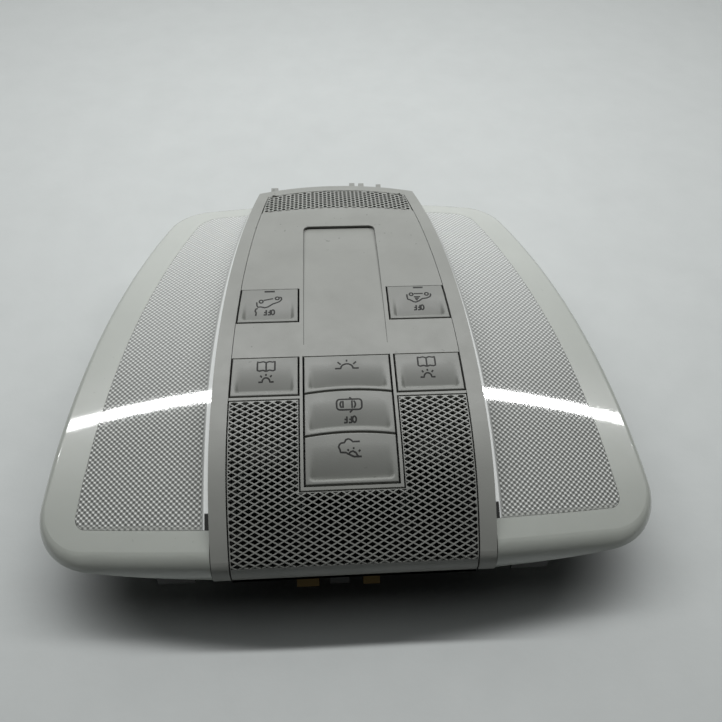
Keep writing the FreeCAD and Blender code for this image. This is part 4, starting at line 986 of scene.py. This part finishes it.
def off_word(across, back, height, width):
    """The word OFF, which stands upside down for someone at the near end."""
    letter = width / 3.5
    top = back + height / 2
    low = back - height / 2
    r = letter / 2
    left = across - width / 2
    loop = [(across + width / 2 - r + r * math.cos(t), back + height / 2 * math.sin(t))
            for t in [math.radians(30 * i) for i in range(13)]]
    strokes = [loop]
    for start in (left + letter, left + 2.25 * letter):
        strokes.append([(start - letter * 0.8, top), (start, top), (start, low)])
        strokes.append([(start, back), (start - letter * 0.65, back)])
    return strokes


def small_lamp(base, r, height, reach):
    """A rising half round with a line on each side."""
    dome = bow(0, base, r, 180, 0, flat=height / r)
    return [[(-reach, base)] + dome + [(reach, base)]]


SIGNS = {
    "cabin_light": small_lamp(6.0, 2.4, 2.0, 4.65) + [
        [(-3.6, 3.1), (-2.4, 4.3)], [(0, 2.0), (0, 2.95)], [(3.7, 3.1), (2.5, 4.2)]],
    "door_light": [
        bow(3.7, 5.1, 1.2, 90, 0, 4) + bow(3.7, 6.9, 1.2, 0, -90, 4)
        + bow(-3.4, 6.9, 1.2, 270, 180, 4) + bow(-3.4, 5.1, 1.2, 180, 90, 4) + [(3.7, 3.9)],
        bow(-1.6, 6.0, 1.7, 130, 230, 6), [(-2.2, 4.6), (-2.2, 7.4)],
        bow(0.7, 6.0, 1.8, 50, -50, 6), [(1.2, 4.5), (1.2, 7.5)],
        [(0.25, 3.1), (1.6, 4.2)], [(1.6, 7.9), (0.25, 9.2)]] + off_word(0.1, 11.7, 2.2, 4.9),
    "rear_light": [
        [(3.4, 3.5), (0.8, 3.5), (0, 2.7), (-0.9, 2.35), (-1.7, 2.7), (-2.4, 3.8), (-3.5, 3.9),
         (-4.1, 4.4), (-4.5, 5.3), (-4.0, 6.4), (-3.8, 7.3), (-1.9, 7.4), (-0.9, 8.0), (1.1, 8.9),
         (3.8, 8.9)],
        [(-0.9, 7.9), (-0.2, 7.2), (0.7, 6.95), (1.7, 7.5), (2.5, 8.8)],
        [(-1.3, 6.3), (-0.75, 6.85)], [(0.95, 5.6), (1.0, 6.3)], [(3.4, 6.6), (2.75, 7.2)]],
    "alarm_left": [
        bow(-3.26, 7.17, 0.8, 0, 360, 12), bow(3.47, 5.56, 0.8, 0, 360, 12),
        [(-2.25, 6.55), (1.82, 5.67)],
        [(-5.07, 7.5), (-4.97, 9.1), (-4.58, 10.0), (-3.4, 9.9), (-1.67, 10.4), (-0.3, 10.0),
         (1.63, 8.56), (4.35, 7.5), (5.32, 6.3), (5.12, 5.1), (4.35, 4.95)],
        [(-4.6, 10.7), (-5.36, 10.96), (-5.65, 11.9), (-5.17, 12.8), (-5.42, 14.2)]]
        + off_word(0, 12.7, 2.3, 4.8),
    "alarm_right": [
        bow(-2.2, 5.2, 0.8, 0, 360, 12), bow(4.4, 5.2, 0.8, 0, 360, 12), [(-1.0, 4.9), (2.85, 4.9)],
        [(-4.0, 5.2), (-4.1, 6.3), (-3.9, 7.9), (-2.85, 8.3), (-1.6, 9.3), (-0.5, 9.5),
         (0.85, 8.9), (2.3, 7.8), (4.3, 7.5), (5.7, 6.8), (6.2, 5.7), (5.95, 5.05)],
        [(-1.2, 6.7), (1.55, 6.7)], [(-0.8, 7.5), (0.9, 7.5)], [(-0.6, 8.3), (0.4, 8.3)]]
        + off_word(0.3, 12.2, 2.3, 4.5),
}
page = [(0, 2.3), (1.2, 1.8), (2.6, 2.1), (3.4, 1.8), (3.4, 5.8), (2.6, 6.1), (1.2, 5.8), (0, 6.3)]
book = [[(0, 2.3), (0, 6.3)]] + [[(way * a, b) for a, b in page] for way in (-1, 1)]
reading_lamp = small_lamp(10.7, 1.5, 1.7, 2.95) + [
    [(0, 7.4), (0, 8.2)], [(-2.2, 8.0), (-1.6, 8.8)], [(2.2, 8.0), (1.6, 8.8)]]
SIGNS["reading_left"] = moved(book + reading_lamp, 0.5)
SIGNS["reading_right"] = moved(book + reading_lamp, -0.5)
print("Strokes:", {name: len(strokes) for name, strokes in SIGNS.items()})

# %% [markdown]
# Two keys also have a short bar that lights up while the alarm is switched off. It is drawn as one
# thicker stroke with the signs.

# %% Signs on the keys
INDICATORS = {"alarm_left": [(-2.0, 1.4), (2.4, 1.4)], "alarm_right": [(-1.0, 1.1), (3.2, 1.1)]}
BAR = 1.0
INK_LIFT = 0.03
SAME_PLACE = 0.001


def in_small_steps(points, step=0.6):
    """Adds points along a line so that it can follow a curved surface."""
    result = [points[0]]
    for start, end in zip(points, points[1:]):
        count = max(1, math.ceil(math.dist(start, end) / step))
        for i in range(1, count + 1):
            result.append(tuple(a + (b - a) * i / count for a, b in zip(start, end)))
    return result


def drawn(lines):
    """Mesh of round strokes on the flat, from lines of points with a width each."""
    curve = bpy.data.curves.new("strokes", "CURVE")
    curve.dimensions = "3D"
    curve.bevel_depth = 0.5
    curve.bevel_resolution = 1
    curve.use_fill_caps = True
    for stroke, width in lines:
        points = in_small_steps(stroke)
        spline = curve.splines.new("POLY")
        spline.points.add(len(points) - 1)
        for point, (across, back) in zip(spline.points, points):
            point.co = (across, -back, 0, 1)
            point.radius = width
    holder = bpy.data.objects.new("strokes", curve)
    mesh = bpy.data.meshes.new_from_object(holder)
    bm = bmesh.new()
    bm.from_mesh(mesh)
    bpy.data.objects.remove(holder)
    bpy.data.curves.remove(curve)
    bpy.data.meshes.remove(mesh)
    bmesh.ops.remove_doubles(bm, verts=bm.verts, dist=SAME_PLACE)
    return bm


def print_sign(name, key, strokes):
    """Lays the strokes of a sign on its key."""
    lines = [(stroke, STROKE) for stroke in strokes]
    if name in INDICATORS:
        lines.append((INDICATORS[name], BAR))
    bm = drawn(lines)
    left, right = key_sides(key, (key["near"] + key["far"]) / 2)
    middle_x = (left + right) / 2
    far = key["far"] + key["far_arch"]

    def place(p):
        x = middle_x + p.x
        y = far + p.y
        return Vector((x, y, key_top(key, x, y) + INK_LIFT * p.z / (STROKE / 2)))

    lay_out(bm, place)
    bmesh.ops.recalc_face_normals(bm, faces=bm.faces[:])
    finish_piece(bm, "sign_" + name, "key_" + name, sign_ink)


for name, key in KEYS.items():
    print_sign(name, key, SIGNS[name])

# %% [markdown]
# The recess has a fine dark line all round, painted shade along its edge where it meets the face;
# it still shows at the near end, where the recess has faded out. It is one more stroke, laid on the
# panel.

# %% Line round the recess
LINE_NEAR = 10.5
LINE_R = 3.0
LINE_W = 0.24
LINE_LIFT = 0.004
bend_x = RECESS_X - LINE_R
bend_back = -RECESS_FAR + LINE_R
left_run = [(-RECESS_X, LINE_NEAR)] + bow(-bend_x, bend_back, LINE_R, 180, 90, 6)
right_run = bow(bend_x, bend_back, LINE_R, 90, 0, 6) + [(RECESS_X, LINE_NEAR)]
# Painted shade: a dark stroke along the recess's edge.
bm = drawn([(left_run + right_run, LINE_W)])
lay_out(bm, lambda p: Vector((p.x, p.y, console_z(p.y) + LINE_LIFT * p.z / (LINE_W / 2))))
bmesh.ops.recalc_face_normals(bm, faces=bm.faces[:])
finish_piece(bm, "recess_shade_line", "housing", recess_shade_grey)

# %% [markdown]
# The camera stands over the wide end and looks down at 50 degrees, turned a little to the right and
# rolled by less than two degrees, as the edges of the console and the lenses show.

# %% Camera
PITCH = math.radians(50.0)
TURN = math.radians(4.55)
ROLL = math.radians(-1.72)
CAMERA_PLACE = (-0.0083, -0.1950, 0.2613)
SENSOR_MM = 36.0
FOCAL_PX = 695.0
PICTURE_PX = 722.0
ahead = math.cos(PITCH)
forward = Vector((math.sin(TURN) * ahead, math.cos(TURN) * ahead, -math.sin(PITCH)))
level = Vector((math.cos(TURN), -math.sin(TURN), 0))
down = forward.cross(level)
right = math.cos(ROLL) * level + math.sin(ROLL) * down
lower = -math.sin(ROLL) * level + math.cos(ROLL) * down
camera_data = bpy.data.cameras.new("camera")
camera_data.lens = SENSOR_MM * FOCAL_PX / PICTURE_PX
camera_data.sensor_width = SENSOR_MM
camera = bpy.data.objects.new("camera", camera_data)
axes = Matrix((right, -lower, -forward)).transposed().to_4x4()
camera.matrix_world = Matrix.Translation(CAMERA_PLACE) @ axes
show(camera)
bpy.context.scene.camera = camera
print("Camera at", [round(v, 3) for v in camera.location])

# %% [markdown]
# The table is a wide pale sheet under the lamp. Its colour holds a painted pool of light: bright
# round the lamp and darker further out.

# %% Table
TABLE_HALF = 4.0
TABLE_PALE = (0.59, 0.615, 0.61)
TABLE_FALLOFF_SHADE = (0.30, 0.314, 0.31, 1.0)
LIT_POOL_MIDDLE = (0.0, 0.16, 0.0)
LIT_POOL_SPAN = (0.12, 0.65)
bm = bmesh.new()
bmesh.ops.create_grid(bm, x_segments=8, y_segments=8, size=TABLE_HALF)
table_mesh = bpy.data.meshes.new("table")
bm.to_mesh(table_mesh)
bm.free()
table = bpy.data.objects.new("table", table_mesh)
show(table)
table_finish, table_shader = plastic("pale table", TABLE_PALE, 0.75, grain=300.0, relief=0.0001,
                                     mottle=0.02, specks=0.0)
tree = table_finish.node_tree
# Painted light: the table's colour is paler round the lamp and darker further out.
spot = tree.nodes.new("ShaderNodeTexCoord")
reach = tree.nodes.new("ShaderNodeVectorMath")
reach.operation = "DISTANCE"
reach.inputs[1].default_value = LIT_POOL_MIDDLE
tree.links.new(spot.outputs["Object"], reach.inputs[0])
pale = table_shader.inputs["Base Color"].links[0].from_socket
painted_falloff = mixed(tree, steep(tree, reach.outputs["Value"], *LIT_POOL_SPAN), pale, TABLE_FALLOFF_SHADE)
tree.links.new(painted_falloff, table_shader.inputs["Base Color"])
table_mesh.materials.append(table_finish)
print("The table is", 2 * TABLE_HALF, "m wide")

# %% [markdown]
# One long strip lamp is mirrored in the polished lenses as a bright band, and a weak lamp stands
# behind the far end. The rest is the room: soft light from above the far end, a far wall that only
# shows as a sheen on the plastic, and a plain grey where the camera looks past the table.

# %% Light
ROOM_WAY = (0.0, 0.67, 0.743)
ROOM_SPAN = (0.55, 1.0)
ROOM_LIGHT = 0.85
ROOM_LEAST = 0.006
WALL_WAY = (0.0, 0.966, 0.259)
WALL_SPAN = (0.6, 1.0)
WALL_LEAST = 0.05
SEEN_LIGHT = 0.55


def lamp(name, place, aim, size_x, size_y, radiance, turn=0.0):
    """Adds a rectangular lamp that looks at a point and is as bright as its radiance says."""
    data = bpy.data.lights.new(name, "AREA")
    data.shape = "RECTANGLE"
    data.size = size_x
    data.size_y = size_y
    data.energy = radiance * math.pi * size_x * size_y
    thing = bpy.data.objects.new(name, data)
    thing.location = place
    thing.rotation_mode = "QUATERNION"
    look = (Vector(aim) - Vector(place)).to_track_quat("-Z", "Y")
    thing.rotation_quaternion = Quaternion((0, 0, 1), math.radians(turn)) @ look
    show(thing)


def toward(tree, way, low, high):
    """Rises from 0 to 1 as a ray turns towards a direction."""
    ray = tree.nodes.new("ShaderNodeTexCoord")
    product = tree.nodes.new("ShaderNodeVectorMath")
    product.operation = "DOT_PRODUCT"
    product.inputs[1].default_value = way
    tree.links.new(ray.outputs["Generated"], product.inputs[0])
    return steep(tree, product.outputs["Value"], low, high)


lamp("strip lamp", place=(0.02, 0.497, 1.0), aim=(0.02, 0.0, 0.03), size_x=2.8, size_y=0.048,
     radiance=38.0, turn=-1.4)
lamp("far soft lamp", place=(0.0, 1.5, 1.3), aim=(0, 0, 0.03), size_x=2.4, size_y=1.2, radiance=0.12)
world = bpy.data.worlds.new("room")
world.use_nodes = True
bpy.context.scene.world = world
room = world.node_tree
backdrop = room.nodes["Background"]
backdrop.inputs["Color"].default_value = (0.95, 0.98, 0.97, 1.0)
path = room.nodes.new("ShaderNodeLightPath").outputs
seen = math_node(room, "MAXIMUM", path["Is Camera Ray"], path["Is Transmission Ray"])
far_wall = math_node(room, "ADD", toward(room, WALL_WAY, *WALL_SPAN), WALL_LEAST)
mirrored = math_node(room, "MULTIPLY", path["Is Glossy Ray"], far_wall)
glow = math_node(room, "MULTIPLY_ADD", toward(room, ROOM_WAY, *ROOM_SPAN), ROOM_LIGHT, ROOM_LEAST)
glow = math_node(room, "ADD", glow, mirrored)
glow = math_node(room, "MULTIPLY_ADD", seen, SEEN_LIGHT, glow)
room.links.new(glow, backdrop.inputs["Strength"])
bpy.context.scene.view_settings.view_transform = "Standard"
print("Lamps:", [light.name for light in bpy.data.lights])
